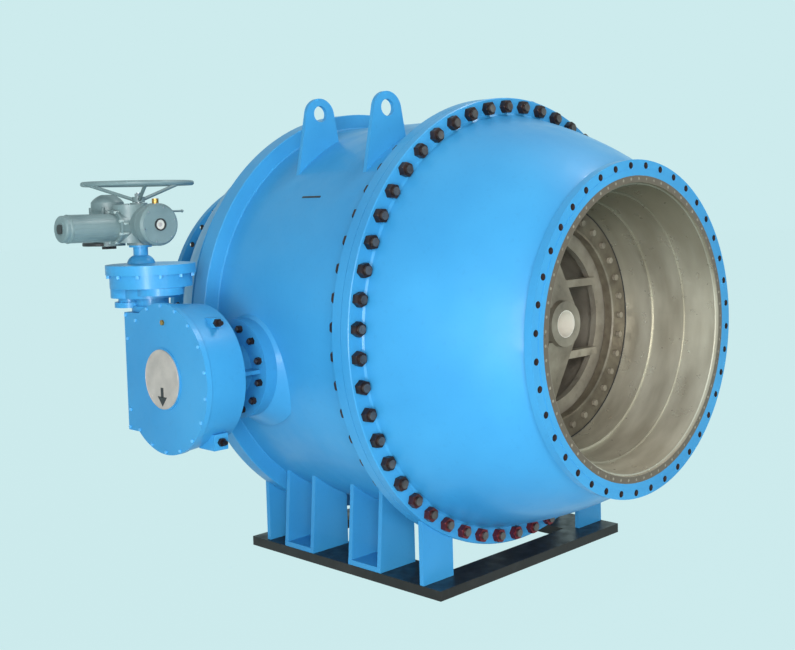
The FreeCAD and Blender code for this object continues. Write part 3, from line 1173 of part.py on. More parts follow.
def feet():
    channels = []
    for side in ("-1", "1"):
        outline = [("foot_top_out", "-foot_up"), ("foot_out", "base_top"), ("foot_in", "base_top"),
                   ("foot_in", "-foot_up")]
        outline = [(f"{side} * {out}", up) for out, up in outline]
        for front, rear in (("front_foot_at", "front_foot_end_at"), ("rear_foot_at", "rear_foot_end_at")):
            sole = block(f"{rear} - {front}", "foot_out - foot_in", "foot_plate",
                         (f"-{rear}", "foot_in" if side == "1" else "-foot_out", "base_top"))
            gussets = [plate(outline, "leg_thickness", f"-{at}")
                       for at in (f"{front} - leg_thickness", rear)]
            channels.append(cut(joined(sole, *gussets), shell_room()))
    group("side_feet", *channels)


def base_frame():
    slab = block("base_rear_at - base_front_at", "2 * base_half", "base_thickness",
                 ("-base_rear_at", "-base_half", "base_top - base_thickness"))
    window = block("base_rear_at - base_front_at - 2 * base_cross", "2 * base_half - 2 * base_strip",
                   "3 * base_thickness",
                   ("base_cross - base_rear_at", "base_strip - base_half", "base_top - 2 * base_thickness"))
    return piece("base_frame", cut(slab, window))


def build():
    for make in (outlet_body, inlet_shell, shell_rings, guide_bulb, bulb_nose, guide_rings,
                 joint_fasteners, outlet_liner, seat_parts, plunger, plunger_bar, crankshaft, slide_block,
                 shaft_bushes, worm_wheel, worm, gear_train, drive_spool, gearbox_casing, gearbox_cover,
                 spur_box, input_column, actuator_case, actuator_ends, handwheel, declutch_lever,
                 lifting_lugs, legs, feet, base_frame):
        make()
    doc.recompute()
    faults = [item.Name for item in doc.Objects if "Invalid" in item.State or "Error" in item.State]
    if faults:
        raise SystemExit("not built: " + ", ".join(faults))
    for item in pieces:
        if item.Shape.isNull() or not item.Shape.isValid():
            raise SystemExit("bad shape: " + item.Label)
    os.makedirs("parts", exist_ok=True)
    for item in pieces:
        item.Shape.exportStep("parts/" + item.Label + ".step")
        print(item.Label, len(item.Shape.Solids), round(item.Shape.Volume / 1e6, 2))


build()
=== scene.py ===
import math

import bpy
from mathutils import Matrix, Vector


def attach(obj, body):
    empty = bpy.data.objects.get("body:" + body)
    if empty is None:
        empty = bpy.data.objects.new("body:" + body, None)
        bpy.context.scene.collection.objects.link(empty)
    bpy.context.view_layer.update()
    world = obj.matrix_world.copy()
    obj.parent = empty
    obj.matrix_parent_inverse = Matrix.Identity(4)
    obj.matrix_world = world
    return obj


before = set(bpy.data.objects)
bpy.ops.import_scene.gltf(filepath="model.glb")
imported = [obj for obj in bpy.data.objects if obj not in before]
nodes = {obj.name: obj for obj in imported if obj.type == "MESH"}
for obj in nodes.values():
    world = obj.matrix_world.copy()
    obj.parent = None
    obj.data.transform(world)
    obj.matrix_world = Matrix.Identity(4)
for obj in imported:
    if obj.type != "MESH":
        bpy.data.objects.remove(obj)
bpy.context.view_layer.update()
print("frame loaded:", len(nodes), "pieces")

# where things are on the valve, in metres
shaftX, shaftZ = -1.865, -0.2
inputX, inputY = -2.328, -1.57642
windowZ, motorZ, plateY = 0.619, 0.608, -1.76


# camera

camera = {"azimuth": 41.7, "elevation": 3.525, "roll": -1.342, "lens": 51.85,
          "place": (3.52894, -5.05135, 0.72393), "shift": (-0.13474, -0.07167), "clip": (0.05, 200)}


def makeCamera():
    turn, rise, roll = (math.radians(camera[key]) for key in ("azimuth", "elevation", "roll"))
    back = Vector((math.sin(turn) * math.cos(rise), -math.cos(turn) * math.cos(rise), math.sin(rise)))
    level = Vector((math.cos(turn), math.sin(turn), 0))
    upright = back.cross(level)
    right = math.cos(roll) * level + math.sin(roll) * upright
    up = -math.sin(roll) * level + math.cos(roll) * upright
    bpy.ops.object.camera_add()
    eye = bpy.context.object
    eye.matrix_world = Matrix((right, up, back)).transposed().to_4x4()
    eye.location = camera["place"]
    eye.data.lens = camera["lens"]
    eye.data.shift_x, eye.data.shift_y = camera["shift"]
    eye.data.clip_start, eye.data.clip_end = camera["clip"]
    bpy.context.scene.camera = eye


makeCamera()
print("camera placed")


# light, floor and background

studio = {"backdrop": (0.610, 0.831, 0.847), "fill": (0.95, 0.97, 1.0), "fillStrength": 0.34,
          "floorGlow": 0.985, "floorHeight": -1.4355, "floorRadius": 60, "floorSides": 96}
lamps = {
    "keyLamp": {"place": (6.5, -9.5, 1.8), "aim": (-1.0, 0, 0), "size": 7.0, "power": 770},
    "barrelLamp": {"place": (5.5, -5.5, 2.2), "aim": (-0.2, 0.4, -0.4), "size": 2.4, "power": 150},
    "frontLamp": {"place": (9.0, -1.0, 0.5), "aim": (-0.5, 0, 0), "size": 4.0, "power": 110},
    "glintLamp": {"place": (0.8, 2.8, 6.6), "aim": (-1.8, -1.4, 0), "size": 2.4, "power": 230},
    "lowLamp": {"place": (3.6, -7.2, -0.9), "aim": (-1.2, -0.7, -1.1), "size": 2.2, "power": 260},
}


def addLamp(name, lamp):
    bpy.ops.object.light_add(type="AREA", location=lamp["place"])
    item = bpy.context.object
    item.name = name
    item.data.shape = "DISK"
    item.data.size = lamp["size"]
    item.data.energy = lamp["power"]
    path = Vector(lamp["aim"]) - Vector(lamp["place"])
    item.rotation_euler = path.to_track_quat("-Z", "Y").to_euler()


def seenOrLit(tree, seen, lit):
    # what the camera, mirrors and glass see against what lights the valve
    path = tree.nodes.new("ShaderNodeLightPath")
    seenBy = path.outputs["Is Camera Ray"]
    for ray in ("Is Glossy Ray", "Is Transmission Ray"):
        either = tree.nodes.new("ShaderNodeMath")
        either.operation = "MAXIMUM"
        tree.links.new(seenBy, either.inputs[0])
        tree.links.new(path.outputs[ray], either.inputs[1])
        seenBy = either.outputs[0]
    mix = tree.nodes.new("ShaderNodeMixShader")
    tree.links.new(seenBy, mix.inputs[0])
    tree.links.new(lit.outputs[0], mix.inputs[1])
    tree.links.new(seen.outputs[0], mix.inputs[2])
    return mix


def makeStudio():
    world = bpy.data.worlds.new("studio")
    bpy.context.scene.world = world
    world.use_nodes = True
    tree = world.node_tree
    seen = tree.nodes["Background"]
    seen.inputs["Color"].default_value = (*studio["backdrop"], 1)
    lit = tree.nodes.new("ShaderNodeBackground")
    lit.inputs["Color"].default_value = (*studio["fill"], 1)
    lit.inputs["Strength"].default_value = studio["fillStrength"]
    mix = seenOrLit(tree, seen, lit)
    tree.links.new(mix.outputs[0], tree.nodes["World Output"].inputs["Surface"])
    for name, lamp in lamps.items():
        addLamp(name, lamp)
    bpy.ops.mesh.primitive_circle_add(vertices=studio["floorSides"], radius=studio["floorRadius"],
                                      fill_type="NGON", location=(0, 0, studio["floorHeight"]))
    floor = bpy.context.object
    floor.name = "studioFloor"
    material = bpy.data.materials.new("studioFloor")
    material.use_nodes = True
    tree = material.node_tree
    tree.nodes.remove(tree.nodes["Principled BSDF"])
    plain = tree.nodes.new("ShaderNodeBsdfDiffuse")
    plain.inputs["Color"].default_value = (*studio["backdrop"], 1)
    glow = tree.nodes.new("ShaderNodeEmission")
    glow.inputs["Color"].default_value = (*studio["backdrop"], 1)
    blend = tree.nodes.new("ShaderNodeMixShader")
    blend.inputs[0].default_value = studio["floorGlow"]
    tree.links.new(plain.outputs[0], blend.inputs[1])
    tree.links.new(glow.outputs[0], blend.inputs[2])
    mix = seenOrLit(tree, blend, plain)
    tree.links.new(mix.outputs[0], tree.nodes["Material Output"].inputs["Surface"])
    floor.data.materials.append(material)
    bpy.context.scene.view_settings.view_transform = "Standard"


makeStudio()
print("studio lit")


# finishes: each is two close colours that drift into each other, with a fine bump and an uneven gloss

screenCurve = {"full": 255, "knee": 10, "slope": 12.92, "offset": 0.055, "power": 2.4}


def linear(*colour):
    # a colour as a screen shows it, in the linear values that a shader takes
    curve = screenCurve
    return tuple(part / curve["full"] / curve["slope"] if part <= curve["knee"]
                 else ((part / curve["full"] + curve["offset"]) / (1 + curve["offset"])) ** curve["power"]
                 for part in colour)


finishes = {
    "bluePaint": {"colour": linear(64, 153, 206), "second": linear(52, 139, 194), "drift": 1.3,
                  "roughness": (0.32, 0.48), "grain": 900, "bump": 0.02, "ripple": 13, "wave": 0.06,
                  "coat": 0.12, "specular": 0.25, "specks": 0.1, "speckColour": linear(40, 104, 150)},
    # painted highlight: the cover screws and spur bolts take a paler, glossier blue than the body paint,
    # standing in for their glints
    "highlightBluePaint": {"colour": linear(96, 180, 232), "second": linear(82, 166, 222), "drift": 3,
                      "roughness": (0.26, 0.4), "grain": 900, "bump": 0.03, "coat": 0.35},
    "darkNut": {"colour": linear(34, 30, 34), "second": linear(70, 52, 50), "drift": 14, "metallic": 0.7,
                "roughness": (0.3, 0.5), "grain": 700, "bump": 0.05, "specks": 0.25,
                "speckColour": linear(110, 70, 55), "fade": ("Z", -1.25, -0.75, linear(124, 44, 52))},
    "studSteel": {"colour": linear(122, 113, 110), "second": linear(84, 74, 72), "drift": 14,
                  "metallic": 0.8, "roughness": (0.26, 0.42), "grain": 700, "bump": 0.05},
    # painted shade: the liner's fade darkens it towards the top of the bore, where its top wall lies in
    # shade
    "turnedStainless": {"colour": linear(204, 199, 182), "second": linear(166, 159, 142), "drift": 2,
                        "stretch": (9, 2.2, 2.2), "fade": ("Z", 0.74, 0.1, linear(108, 104, 88)),
                        "metallic": 0.5, "roughness": (0.26, 0.34), "grain": 500, "bump": 0.04,
                        "lines": (1400, 3, 3), "lineBump": 0.12, "rim": (0.786, 0.79, linear(112, 98, 84))},
    "wornStainless": {"colour": linear(128, 120, 104), "second": linear(92, 82, 70), "drift": 9,
                      "metallic": 0.4, "roughness": (0.32, 0.55), "grain": 500, "bump": 0.06, "specks": 0.3,
                      "speckColour": linear(70, 58, 50)},
    # partly rust, partly painted shade: the bolt-hole bores are lined in a near-black rusty brown, for the
    # bare steel and for the shade inside the deep holes
    "rustAndShadeBore": {"colour": linear(58, 40, 36), "second": linear(34, 28, 28), "drift": 40,
                  "roughness": (0.6, 0.8), "grain": 700, "bump": 0.1},
    "castSteel": {"colour": linear(172, 163, 147), "second": linear(128, 119, 106), "drift": 5,
                  "metallic": 0.4, "roughness": (0.42, 0.7), "grain": 260, "bump": 0.25, "specks": 0.4,
                  "speckColour": linear(52, 44, 38)},
    "machinedSteel": {"colour": linear(176, 178, 180), "second": linear(140, 142, 146), "drift": 9,
                      "metallic": 0.95, "roughness": (0.22, 0.38), "grain": 800, "bump": 0.03},
    "brightSteel": {"colour": linear(250, 246, 236), "second": linear(240, 232, 220), "drift": 9,
                    "metallic": 0.0, "roughness": (0.3, 0.42), "grain": 800, "bump": 0.03},
    "bronze": {"colour": linear(190, 148, 84), "second": linear(160, 118, 62), "drift": 11,
               "metallic": 0.9, "roughness": (0.28, 0.46), "grain": 700, "bump": 0.05},
    "blackRubber": {"colour": linear(28, 28, 29), "second": linear(40, 40, 41), "drift": 18,
                    "roughness": (0.6, 0.8), "grain": 900, "bump": 0.08},
    "greyActuatorPaint": {"colour": linear(118, 139, 141), "second": linear(104, 126, 129), "drift": 7,
                          "roughness": (0.34, 0.5), "grain": 420, "bump": 0.09, "specks": 0.12,
                          "speckColour": linear(84, 102, 102)},
    # painted highlight: the motor and case screws take a paler grey than the actuator paint, standing in
    # for their glints
    "highlightActuatorPaint": {"colour": linear(172, 190, 190), "second": linear(150, 170, 170), "drift": 12,
                          "roughness": (0.3, 0.42), "grain": 420, "bump": 0.05},
    "plateMetal": {"colour": linear(196, 184, 176), "second": linear(176, 165, 158), "drift": 12,
                   "metallic": 0.35, "roughness": (0.3, 0.45), "grain": 700, "bump": 0.03},
    "blackPlastic": {"colour": linear(30, 31, 32), "second": linear(40, 41, 42), "drift": 20,
                     "roughness": (0.4, 0.55), "grain": 900, "bump": 0.05},
    "blackBasePaint": {"colour": linear(27, 24, 22), "second": linear(44, 40, 37), "drift": 2.2,
                       "specular": 0.3, "roughness": (0.28, 0.5), "grain": 260, "bump": 0.08,
                       "specks": 0.22, "speckColour": linear(70, 66, 62)},
}
finishes["motorPaint"] = {**finishes["greyActuatorPaint"],
                          "fade": ("Y", -2.051, -2.0506, linear(34, 35, 36))}
texture = {"driftDetail": 3, "grainDetail": 2, "grainDepth": 0.001, "speckShare": 22, "speckDetail": 5,
           "speckRange": (0.58, 0.74), "patchShare": 6, "patchDetail": 4, "rippleDetail": 1,
           "rippleDepth": 0.02, "lineDetail": 2, "lineDepth": 0.0006, "coatRoughness": 0.12}
windowLook = {"colour": linear(226, 224, 214), "second": linear(190, 190, 182), "haze": 60, "detail": 3,
              "roughness": 0.12, "coat": 0.6}


def addNoise(tree, coordinates, scale, detail=4.0, stretch=None):
    noise = tree.nodes.new("ShaderNodeTexNoise")
    noise.inputs["Scale"].default_value = scale
    noise.inputs["Detail"].default_value = detail
    source = coordinates
    if stretch:
        mapping = tree.nodes.new("ShaderNodeMapping")
        mapping.inputs["Scale"].default_value = stretch
        tree.links.new(coordinates, mapping.inputs["Vector"])
        source = mapping.outputs["Vector"]
        noise.inputs["Scale"].default_value = 1
    tree.links.new(source, noise.inputs["Vector"])
    return noise


def addMix(tree, amount, first, second):
    mix = tree.nodes.new("ShaderNodeMix")
    mix.data_type = "RGBA"
    tree.links.new(amount, mix.inputs["Factor"])
    for value, socket in ((first, mix.inputs["A"]), (second, mix.inputs["B"])):
        if isinstance(value, tuple):
            socket.default_value = (*value, 1)
        else:
            tree.links.new(value, socket)
    return mix.outputs["Result"]


def addRange(tree, value, low, high, start=0.3, end=0.7):
    spread = tree.nodes.new("ShaderNodeMapRange")
    tree.links.new(value, spread.inputs["Value"])
    for key, number in (("From Min", start), ("From Max", end), ("To Min", low), ("To Max", high)):
        spread.inputs[key].default_value = number
    return spread.outputs["Result"]


def addBump(tree, height, strength, distance, before=None):
    bump = tree.nodes.new("ShaderNodeBump")
    bump.inputs["Strength"].default_value = strength
    bump.inputs["Distance"].default_value = distance
    tree.links.new(height, bump.inputs["Height"])
    if before:
        tree.links.new(before, bump.inputs["Normal"])
    return bump.outputs["Normal"]


def addMath(tree, operation, first, second):
    node = tree.nodes.new("ShaderNodeMath")
    node.operation = operation
    for index, value in enumerate((first, second)):
        if isinstance(value, (int, float)):
            node.inputs[index].default_value = value
        else:
            tree.links.new(value, node.inputs[index])
    return node.outputs[0]


def makeFinish(name, look):
    material = bpy.data.materials.new(name)
    material.use_nodes = True
    tree = material.node_tree
    shader = tree.nodes["Principled BSDF"]
    coordinates = tree.nodes.new("ShaderNodeTexCoord").outputs["Object"]
    drift = addNoise(tree, coordinates, look["drift"], texture["driftDetail"], look.get("stretch"))
    colour = addMix(tree, addRange(tree, drift.outputs["Fac"], 0, 1), look["colour"], look["second"])
    grain = addNoise(tree, coordinates, look["grain"], texture["grainDetail"])
    if "specks" in look:
        spots = addNoise(tree, coordinates, look["grain"] / texture["speckShare"], texture["speckDetail"])
        amount = addRange(tree, spots.outputs["Fac"], 0, look["specks"], *texture["speckRange"])
        colour = addMix(tree, amount, colour, look["speckColour"])
    apart = tree.nodes.new("ShaderNodeSeparateXYZ")
    tree.links.new(coordinates, apart.inputs[0])
    # a tint laid in along one axis of the object: painted shade on the stainless liner, darker towards its
    # top; a redder tone towards the bottom on the nuts; a black end on the motor
    if "fade" in look:
        along, full, none, tint = look["fade"]
        colour = addMix(tree, addRange(tree, apart.outputs[along], 1, 0, full, none), colour, tint)
    if "rim" in look:
        inner, outer, tint = look["rim"]
        squares = [addMath(tree, "POWER", apart.outputs[side], 2) for side in "YZ"]
        radius = addMath(tree, "SQRT", addMath(tree, "ADD", *squares), 0)
        colour = addMix(tree, addRange(tree, radius, 0, 1, inner, outer), colour, tint)
    tree.links.new(colour, shader.inputs["Base Color"])
    low, high = look["roughness"]
    patches = addNoise(tree, coordinates, look["drift"] * texture["patchShare"], texture["patchDetail"])
    tree.links.new(addRange(tree, patches.outputs["Fac"], low, high), shader.inputs["Roughness"])
    normal = addBump(tree, grain.outputs["Fac"], look["bump"], texture["grainDepth"])
    if "ripple" in look:
        ripple = addNoise(tree, coordinates, look["ripple"], texture["rippleDetail"])
        normal = addBump(tree, ripple.outputs["Fac"], look["wave"], texture["rippleDepth"], normal)
    if "lines" in look:
        lines = addNoise(tree, coordinates, 1, texture["lineDetail"], look["lines"])
        normal = addBump(tree, lines.outputs["Fac"], look["lineBump"], texture["lineDepth"], normal)
    tree.links.new(normal, shader.inputs["Normal"])
    shader.inputs["Metallic"].default_value = look.get("metallic", 0)
    shader.inputs["Specular IOR Level"].default_value = look.get("specular", 0.5)
    shader.inputs["Coat Weight"].default_value = look.get("coat", 0)
    shader.inputs["Coat Roughness"].default_value = texture["coatRoughness"]
    return material


def makeWindowGlass():
    material = bpy.data.materials.new("windowGlass")
    material.use_nodes = True
    tree = material.node_tree
    shader = tree.nodes["Principled BSDF"]
    coordinates = tree.nodes.new("ShaderNodeTexCoord").outputs["Object"]
    look = windowLook
    haze = addNoise(tree, coordinates, look["haze"], look["detail"])
    colour = addMix(tree, haze.outputs["Fac"], look["colour"], look["second"])
    tree.links.new(colour, shader.inputs["Base Color"])
    shader.inputs["Roughness"].default_value = look["roughness"]
    shader.inputs["Coat Weight"].default_value = look["coat"]
    return material


materials = {name: makeFinish(name, look) for name, look in finishes.items()}
materials["windowGlass"] = makeWindowGlass()

nodeFinishes = {
    "bluePaint": "outlet_body inlet_shell inlet_joint_flange stiffening_band inlet_cone guide_bulb "
                 "bulb_nose drive_spool gearbox_casing gearbox_cover spur_housing spur_cover "
                 "input_column lifting_lugs end_legs side_feet",
    "highlightBluePaint": "cover_screws spur_bolts",
    "darkNut": "joint_nuts boss_nuts stop_screws neck_plugs",
    "studSteel": "joint_studs boss_studs",
    "turnedStainless": "outlet_liner",
    "wornStainless": "seat_ring",
    "castSteel": "plunger plunger_bar seat_bolts liner_screws",
    "machinedSteel": "crankshaft crank_webs crank_pin input_shaft worm spur_wheel input_pinion lever_pin "
                     "hub_nut",
    "bronze": "guide_rings shaft_bush_near shaft_bush_far worm_wheel slide_block vent_plug brass_plug",
    "blackRubber": "plunger_seal seat_seal shaft_seal joint_gasket",
    "greyActuatorPaint": "actuator_case switch_cover terminal_box handwheel declutch_lever",
    "motorPaint": "motor",
    "windowGlass": "window",
    "plateMetal": "indicator_plate",
    "blackPlastic": "cable_glands",
    "blackBasePaint": "base_frame",
}
for finish, names in nodeFinishes.items():
    for name in names.split():
        nodes[name].data.materials.clear()
        nodes[name].data.materials.append(materials[finish])
print("finishes given")


# pieces: each is modelled where it lies, and its object is then put at the origin

facing = {"x": (0, math.pi / 2, 0), "y": (math.pi / 2, 0, 0), "z": (0, 0, 0)}
smoothAngle = 35


def deselect():
    if bpy.context.mode != "OBJECT":
        bpy.ops.object.mode_set(mode="OBJECT")
    bpy.ops.object.select_all(action="DESELECT")


def addRod(radius, length, place, axis, sides=32, bevel=0.0):
    bpy.ops.mesh.primitive_cylinder_add(vertices=sides, radius=radius, depth=length, location=place,
                                        rotation=facing[axis])
    item = bpy.context.object
    bpy.ops.object.transform_apply(location=True, rotation=True, scale=True)
    if bevel:
        addBevel(item, bevel)
    return item


def addBar(size, place, turn=(0, 0, 0), bevel=0.0):
    bpy.ops.mesh.primitive_cube_add(size=1, location=place, rotation=turn)
    item = bpy.context.object
    item.scale = size
    bpy.ops.object.transform_apply(location=True, rotation=True, scale=True)
    if bevel:
        addBevel(item, bevel)
    return item


def addRing(radius, tube, place, axis, around=96, across=10):
    bpy.ops.mesh.primitive_torus_add(major_radius=radius, minor_radius=tube, major_segments=around,
                                     minor_segments=across, location=place, rotation=facing[axis])
    bpy.ops.object.transform_apply(location=True, rotation=True, scale=True)
    return bpy.context.object


def addBevel(item, width, segments=2):
    bevel = item.modifiers.new("bevel", "BEVEL")
    bevel.width = width
    bevel.segments = segments
    bevel.limit_method = "ANGLE"
    bpy.context.view_layer.objects.active = item
    bpy.ops.object.modifier_apply(modifier=bevel.name)


def addTube(inner, outer, length, place, axis, sides=64):
    # a plain ring: a rod whose ends are inset and bridged through
    item = addRod(outer, length, place, axis, sides)
    bpy.ops.object.mode_set(mode="EDIT")
    bpy.ops.mesh.select_all(action="DESELECT")
    bpy.ops.mesh.select_mode(type="FACE")
    bpy.ops.object.mode_set(mode="OBJECT")
    for face in item.data.polygons:
        face.select = len(face.vertices) > 4
    bpy.ops.object.mode_set(mode="EDIT")
    bpy.ops.mesh.inset(thickness=outer - inner)
    bpy.ops.mesh.bridge_edge_loops()
    bpy.ops.object.mode_set(mode="OBJECT")
    return item


def joinAll(items):
    deselect()
    for item in items:
        item.select_set(True)
    bpy.context.view_layer.objects.active = items[0]
    if len(items) > 1:
        bpy.ops.object.join()
    return bpy.context.object


def finishPiece(name, items, finish, body="valve_body"):
    item = joinAll(items if isinstance(items, list) else [items])
    item.name = item.data.name = name
    item.data.materials.clear()
    item.data.materials.append(materials[finish])
    bpy.ops.object.shade_smooth_by_angle(angle=math.radians(smoothAngle))
    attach(item, body)
    deselect()
    return item


def copyAround(item, centre, axis, count, first=0.0):
    # an item made above the centre, copied on a circle about the axis
    copies = []
    for index in range(count):
        turn = Matrix.Rotation(-math.radians(first) - 2 * math.pi * index / count, 4, axis.upper())
        copy = item.copy()
        copy.data = item.data.copy()
        copy.data.transform(Matrix.Translation(centre) @ turn @ Matrix.Translation(-Vector(centre)))
        bpy.context.collection.objects.link(copy)
        copies.append(copy)
    bpy.data.objects.remove(item)
    return copies


def ringPlaces(centre, axis, radius, count, first=0.0):
    # places on a circle about an axis through the centre, the first turned from the top or from +X
    for index in range(count):
        turn = math.radians(first) + 2 * math.pi * index / count
        across, up = radius * math.sin(turn), radius * math.cos(turn)
        offset = {"x": (0, across, up), "y": (across, 0, up), "z": (up, across, 0)}[axis]
        yield tuple(part + extra for part, extra in zip(centre, offset))


deselect()

plateArrow = {"thickness": 0.0012, "stem": (0.025, 0.052), "stemUp": -0.07, "head": 0.05,
              "headCorners": 3, "headTall": 0.68, "headUp": -0.11}


def makePlateArrow():
    look = plateArrow
    place = plateY - look["thickness"] / 2
    stem = addBar((look["stem"][0], look["thickness"], look["stem"][1]),
                  (shaftX, place, shaftZ + look["stemUp"]))
    deselect()
    bpy.ops.mesh.primitive_cylinder_add(vertices=look["headCorners"], radius=look["head"],
                                        depth=look["thickness"],
                                        location=(shaftX, place, shaftZ + look["headUp"]),
                                        rotation=(-math.pi / 2, 0, 0))
    head = bpy.context.object
    head.scale = (1, look["headTall"], 1)
    bpy.ops.object.transform_apply(location=True, rotation=True, scale=True)
    finishPiece("plateArrow", [stem, head], "blackPlastic")


makePlateArrow()

plateTrim = {"rim": 0.157, "tube": 0.0022, "rivets": 4, "first": 45, "rivetCircle": 0.142,
             "rivet": 0.0055, "rivetHeight": 0.003, "sides": 16, "bevel": 0.001}


def makePlateTrim():
    look = plateTrim
    centre = (shaftX, plateY, shaftZ)
    ring = addRing(look["rim"], look["tube"], centre, "y")
    rivets = [addRod(look["rivet"], look["rivetHeight"], place, "y", look["sides"], look["bevel"])
              for place in ringPlaces(centre, "y", look["rivetCircle"], look["rivets"], look["first"])]
    finishPiece("plateTrim", [ring, *rivets], "plateMetal")


makePlateTrim()

windowRing = {"out": 0.215, "inner": 0.0268, "outer": 0.0345, "depth": 0.006}


def makeWindowRing():
    look = windowRing
    place = (inputX + look["out"] + look["depth"] / 2, inputY, windowZ)
    finishPiece("windowRing", addTube(look["inner"], look["outer"], look["depth"], place, "x"),
                "blackPlastic")


makeWindowRing()

coverScrews = {"out": 0.213, "circle": 0.098, "count": 6, "first": 15, "radius": 0.0055, "depth": 0.006,
               "sides": 16, "bevel": 0.0012}


def makeCoverScrews():
    look = coverScrews
    centre = (inputX + look["out"], inputY, windowZ)
    screws = [addRod(look["radius"], look["depth"], place, "x", look["sides"], look["bevel"])
              for place in ringPlaces(centre, "x", look["circle"], look["count"], look["first"])]
    finishPiece("switchCoverScrews", screws, "machinedSteel")


makeCoverScrews()

motorRing = {"place": -0.16, "inner": 0.0885, "outer": 0.097, "depth": 0.014, "bevel": 0.0015, "count": 8,
             "first": 22.5, "circle": 0.0905, "radius": 0.0085, "screwDepth": 0.026, "sides": 16,
             "screwBevel": 0.002}


def makeMotorRing():
    look = motorRing
    centre = (inputX, inputY + look["place"], motorZ)
    ring = addTube(look["inner"], look["outer"], look["depth"], centre, "y")
    addBevel(ring, look["bevel"])
    screw = addRod(look["radius"], look["screwDepth"], (centre[0], centre[1], centre[2] + look["circle"]),
                   "y", look["sides"], look["screwBevel"])
    screws = copyAround(screw, centre, "y", look["count"], look["first"])
    finishPiece("motorRing", ring, "greyActuatorPaint")
    finishPiece("motorScrews", screws, "highlightActuatorPaint")


makeMotorRing()

motorRibs = {"near": -0.19, "far": -0.425, "circle": 0.0752, "count": 20, "width": 0.003, "tall": 0.004,
             "bevel": 0.001}


def makeMotorRibs():
    look = motorRibs
    centre = (inputX, inputY + (look["near"] + look["far"]) / 2, motorZ)
    rib = addBar((look["width"], look["near"] - look["far"], look["tall"]),
                 (centre[0], centre[1], centre[2] + look["circle"]), bevel=look["bevel"])
    ribs = copyAround(rib, centre, "y", look["count"])
    finishPiece("motorRibs", ribs, "greyActuatorPaint")


makeMotorRibs()

motorEnd = {"seam": -0.4325, "radius": 0.0763, "tube": 0.0028, "sides": 64, "cap": -0.4525,
            "capRadius": 0.0735, "capDepth": 0.043, "capBevel": 0.013, "bevelSteps": 5, "plug": -0.4759,
            "plugSize": (0.05, 0.007, 0.046), "plugBevel": 0.003}


def makeMotorEnd():
    look = motorEnd
    seam, middle, end = ((inputX, inputY + look[key], motorZ) for key in ("seam", "cap", "plug"))
    ring = addRing(look["radius"], look["tube"], seam, "y", look["sides"])
    cap = addRod(look["capRadius"], look["capDepth"], middle, "y", look["sides"])
    addBevel(cap, look["capBevel"], look["bevelSteps"])
    finishPiece("motorEnd", [ring, cap], "greyActuatorPaint")
    plug = addBar(look["plugSize"], end, bevel=look["plugBevel"])
    finishPiece("motorEndPlug", plug, "blackPlastic")


makeMotorEnd()

terminalTrim = {"left": -0.196, "out": -0.082, "seam": 0.7, "radius": 0.0905, "tube": 0.003, "sides": 64,
                "lugs": 4, "first": 45, "lugCircle": 0.094, "lugRadius": 0.011, "lugHeight": 0.05,
                "lugMiddle": 0.695, "lugSides": 20, "lugBevel": 0.002, "shadeDisc": (-0.228, -0.118, 0.511),
                "shadeDiscRadius": 0.098, "shadeDiscDepth": 0.02, "shadeDiscBevel": 0.004}


def makeTerminalTrim():
    look = terminalTrim
    centre = (inputX + look["left"], inputY + look["out"], look["seam"])
    seam = addRing(look["radius"], look["tube"], centre, "z", look["sides"])
    lugs = [addRod(look["lugRadius"], look["lugHeight"], (across, out, look["lugMiddle"]), "z",
                   look["lugSides"], look["lugBevel"])
            for across, out, up in ringPlaces(centre, "z", look["lugCircle"], look["lugs"], look["first"])]
    finishPiece("terminalTrim", [seam, *lugs], "greyActuatorPaint")
    # painted shade: a black disc under the terminal box, standing in for the shade on the box's lower part
    left, out, height = look["shadeDisc"]
    shadeDisc = addRod(look["shadeDiscRadius"], look["shadeDiscDepth"], (inputX + left, inputY + out, height), "z",
                 look["sides"], look["shadeDiscBevel"])
    finishPiece("terminalShadeDisc", shadeDisc, "blackPlastic")


makeTerminalTrim()

caseBosses = {"across": 0.052, "out": -0.142, "height": 0.6, "radius": 0.034, "depth": 0.04, "bevel": 0.003,
              "cap": 0.026, "capDepth": 0.05, "capBevel": 0.004, "sides": 48, "circle": 0.046, "count": 5,
              "first": 20, "screw": 0.0065, "screwOut": -0.135, "screwDepth": 0.03, "screwSides": 16,
              "screwBevel": 0.002}


def makeCaseBosses():
    look = caseBosses
    centre = (inputX + look["across"], inputY + look["out"], look["height"])
    boss = addRod(look["radius"], look["depth"], centre, "y", look["sides"], look["bevel"])
    cap = addRod(look["cap"], look["capDepth"], centre, "y", look["sides"], look["capBevel"])
    finishPiece("caseBoss", [boss, cap], "greyActuatorPaint")
    screw = addRod(look["screw"], look["screwDepth"],
                   (centre[0], inputY + look["screwOut"], centre[2] + look["circle"]), "y",
                   look["screwSides"], look["screwBevel"])
    screws = copyAround(screw, centre, "y", look["count"], look["first"])
    finishPiece("caseScrews", screws, "highlightActuatorPaint")


makeCaseBosses()

drumSeams = {"bevel": 0.001, "rings": ((0.1385, 0.1085, 0.1165, 0.013), (0.02, 0.1078, 0.1112, 0.012),
                                       (0.1475, 0.1168, 0.1195, 0.005), (0.199, 0.1168, 0.1185, 0.003))}


def makeDrumSeams():
    rings = []
    for place, inner, outer, depth in drumSeams["rings"]:
        ring = addTube(inner, outer, depth, (inputX + place, inputY, windowZ), "x")
        addBevel(ring, drumSeams["bevel"])
        rings.append(ring)
    finishPiece("drumSeams", rings, "greyActuatorPaint")


makeDrumSeams()

windowMark = {"out": 0.2134, "radius": 0.012, "depth": 0.001, "sides": 32, "bevel": 0.0003}


def makeWindowMark():
    look = windowMark
    mark = addRod(look["radius"], look["depth"], (inputX + look["out"], inputY, windowZ), "x",
                  look["sides"], look["bevel"])
    finishPiece("windowMark", mark, "plateMetal")


makeWindowMark()

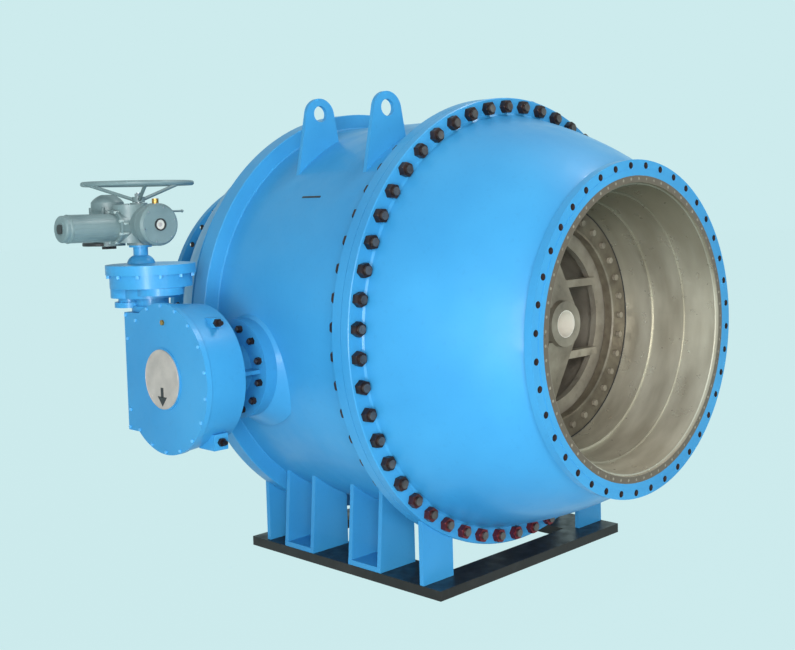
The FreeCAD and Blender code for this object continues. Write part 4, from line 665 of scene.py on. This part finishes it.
flangeBores = {"circle": 0.88, "count": 40, "first": 4.5, "inner": 0.0172, "outer": 0.0179, "sides": 20,
               "ends": ((-0.05, 0.0), (-3.12, -3.077))}


def makeFlangeBores():
    look = flangeBores
    bores = []
    # thin dark tubes inside the bolt holes: rust of the bare bores together with painted shade of the holes
    for rear, front in look["ends"]:
        middle = (rear + front) / 2
        bore = addTube(look["inner"], look["outer"], front - rear, (middle, 0, look["circle"]), "x",
                       look["sides"])
        bores += copyAround(bore, (middle, 0, 0), "x", look["count"], look["first"])
    finishPiece("flangeBores", bores, "rustAndShadeBore")


makeFlangeBores()

seatGap = {"place": -0.5985, "radius": 0.6925, "tube": 0.0034, "around": 160, "across": 8}


def makeSeatGap():
    look = seatGap
    # a thin black ring filling the gap between the seat ring and the liner, so that the gap shows as a dark
    # line
    ring = addRing(look["radius"], look["tube"], (look["place"], 0, 0), "x", look["around"], look["across"])
    finishPiece("seatGapDarkRing", ring, "blackRubber")


makeSeatGap()

bodySlot = {"rear": -1.674, "front": -1.513, "radius": 1.1955, "turn": 51.0, "tall": 0.012, "thick": 0.004,
            "bevel": 0.0015}


def makeBodySlot():
    look = bodySlot
    turn = math.radians(look["turn"])
    middle = (look["rear"] + look["front"]) / 2
    place = (middle, -look["radius"] * math.sin(turn), look["radius"] * math.cos(turn))
    # painted shade: a thin black bar laid on the shell's surface instead of a cut slot, for the dark recess
    # of the slot
    bar = addBar((look["front"] - look["rear"], look["tall"], look["thick"]), place, (turn, 0, 0),
                 look["bevel"])
    finishPiece("bodySlot", bar, "blackPlastic")


makeBodySlot()

weldBeads = {"bandFront": -2.166, "bandRear": -2.285, "coneSeam": -2.43, "radius": 1.195, "tube": 0.007,
             "around": 180, "across": 8}


def makeWeldBeads():
    look = weldBeads
    rings = [addRing(look["radius"], look["tube"], (look[key], 0, 0), "x", look["around"], look["across"])
             for key in ("bandFront", "bandRear", "coneSeam")]
    finishPiece("weldBeads", rings, "bluePaint")


makeWeldBeads()

hubSleeve = {"front": -0.5145, "rear": -0.64, "inner": 0.0745, "outer": 0.0779, "sides": 96}


def makeHubSleeve():
    look = hubSleeve
    middle = (look["front"] + look["rear"]) / 2
    sleeve = addTube(look["inner"], look["outer"], look["front"] - look["rear"], (middle, 0, 0), "x",
                     look["sides"])
    finishPiece("hubSleeve", sleeve, "brightSteel", "plunger_body")


makeHubSleeve()
print("pieces made")
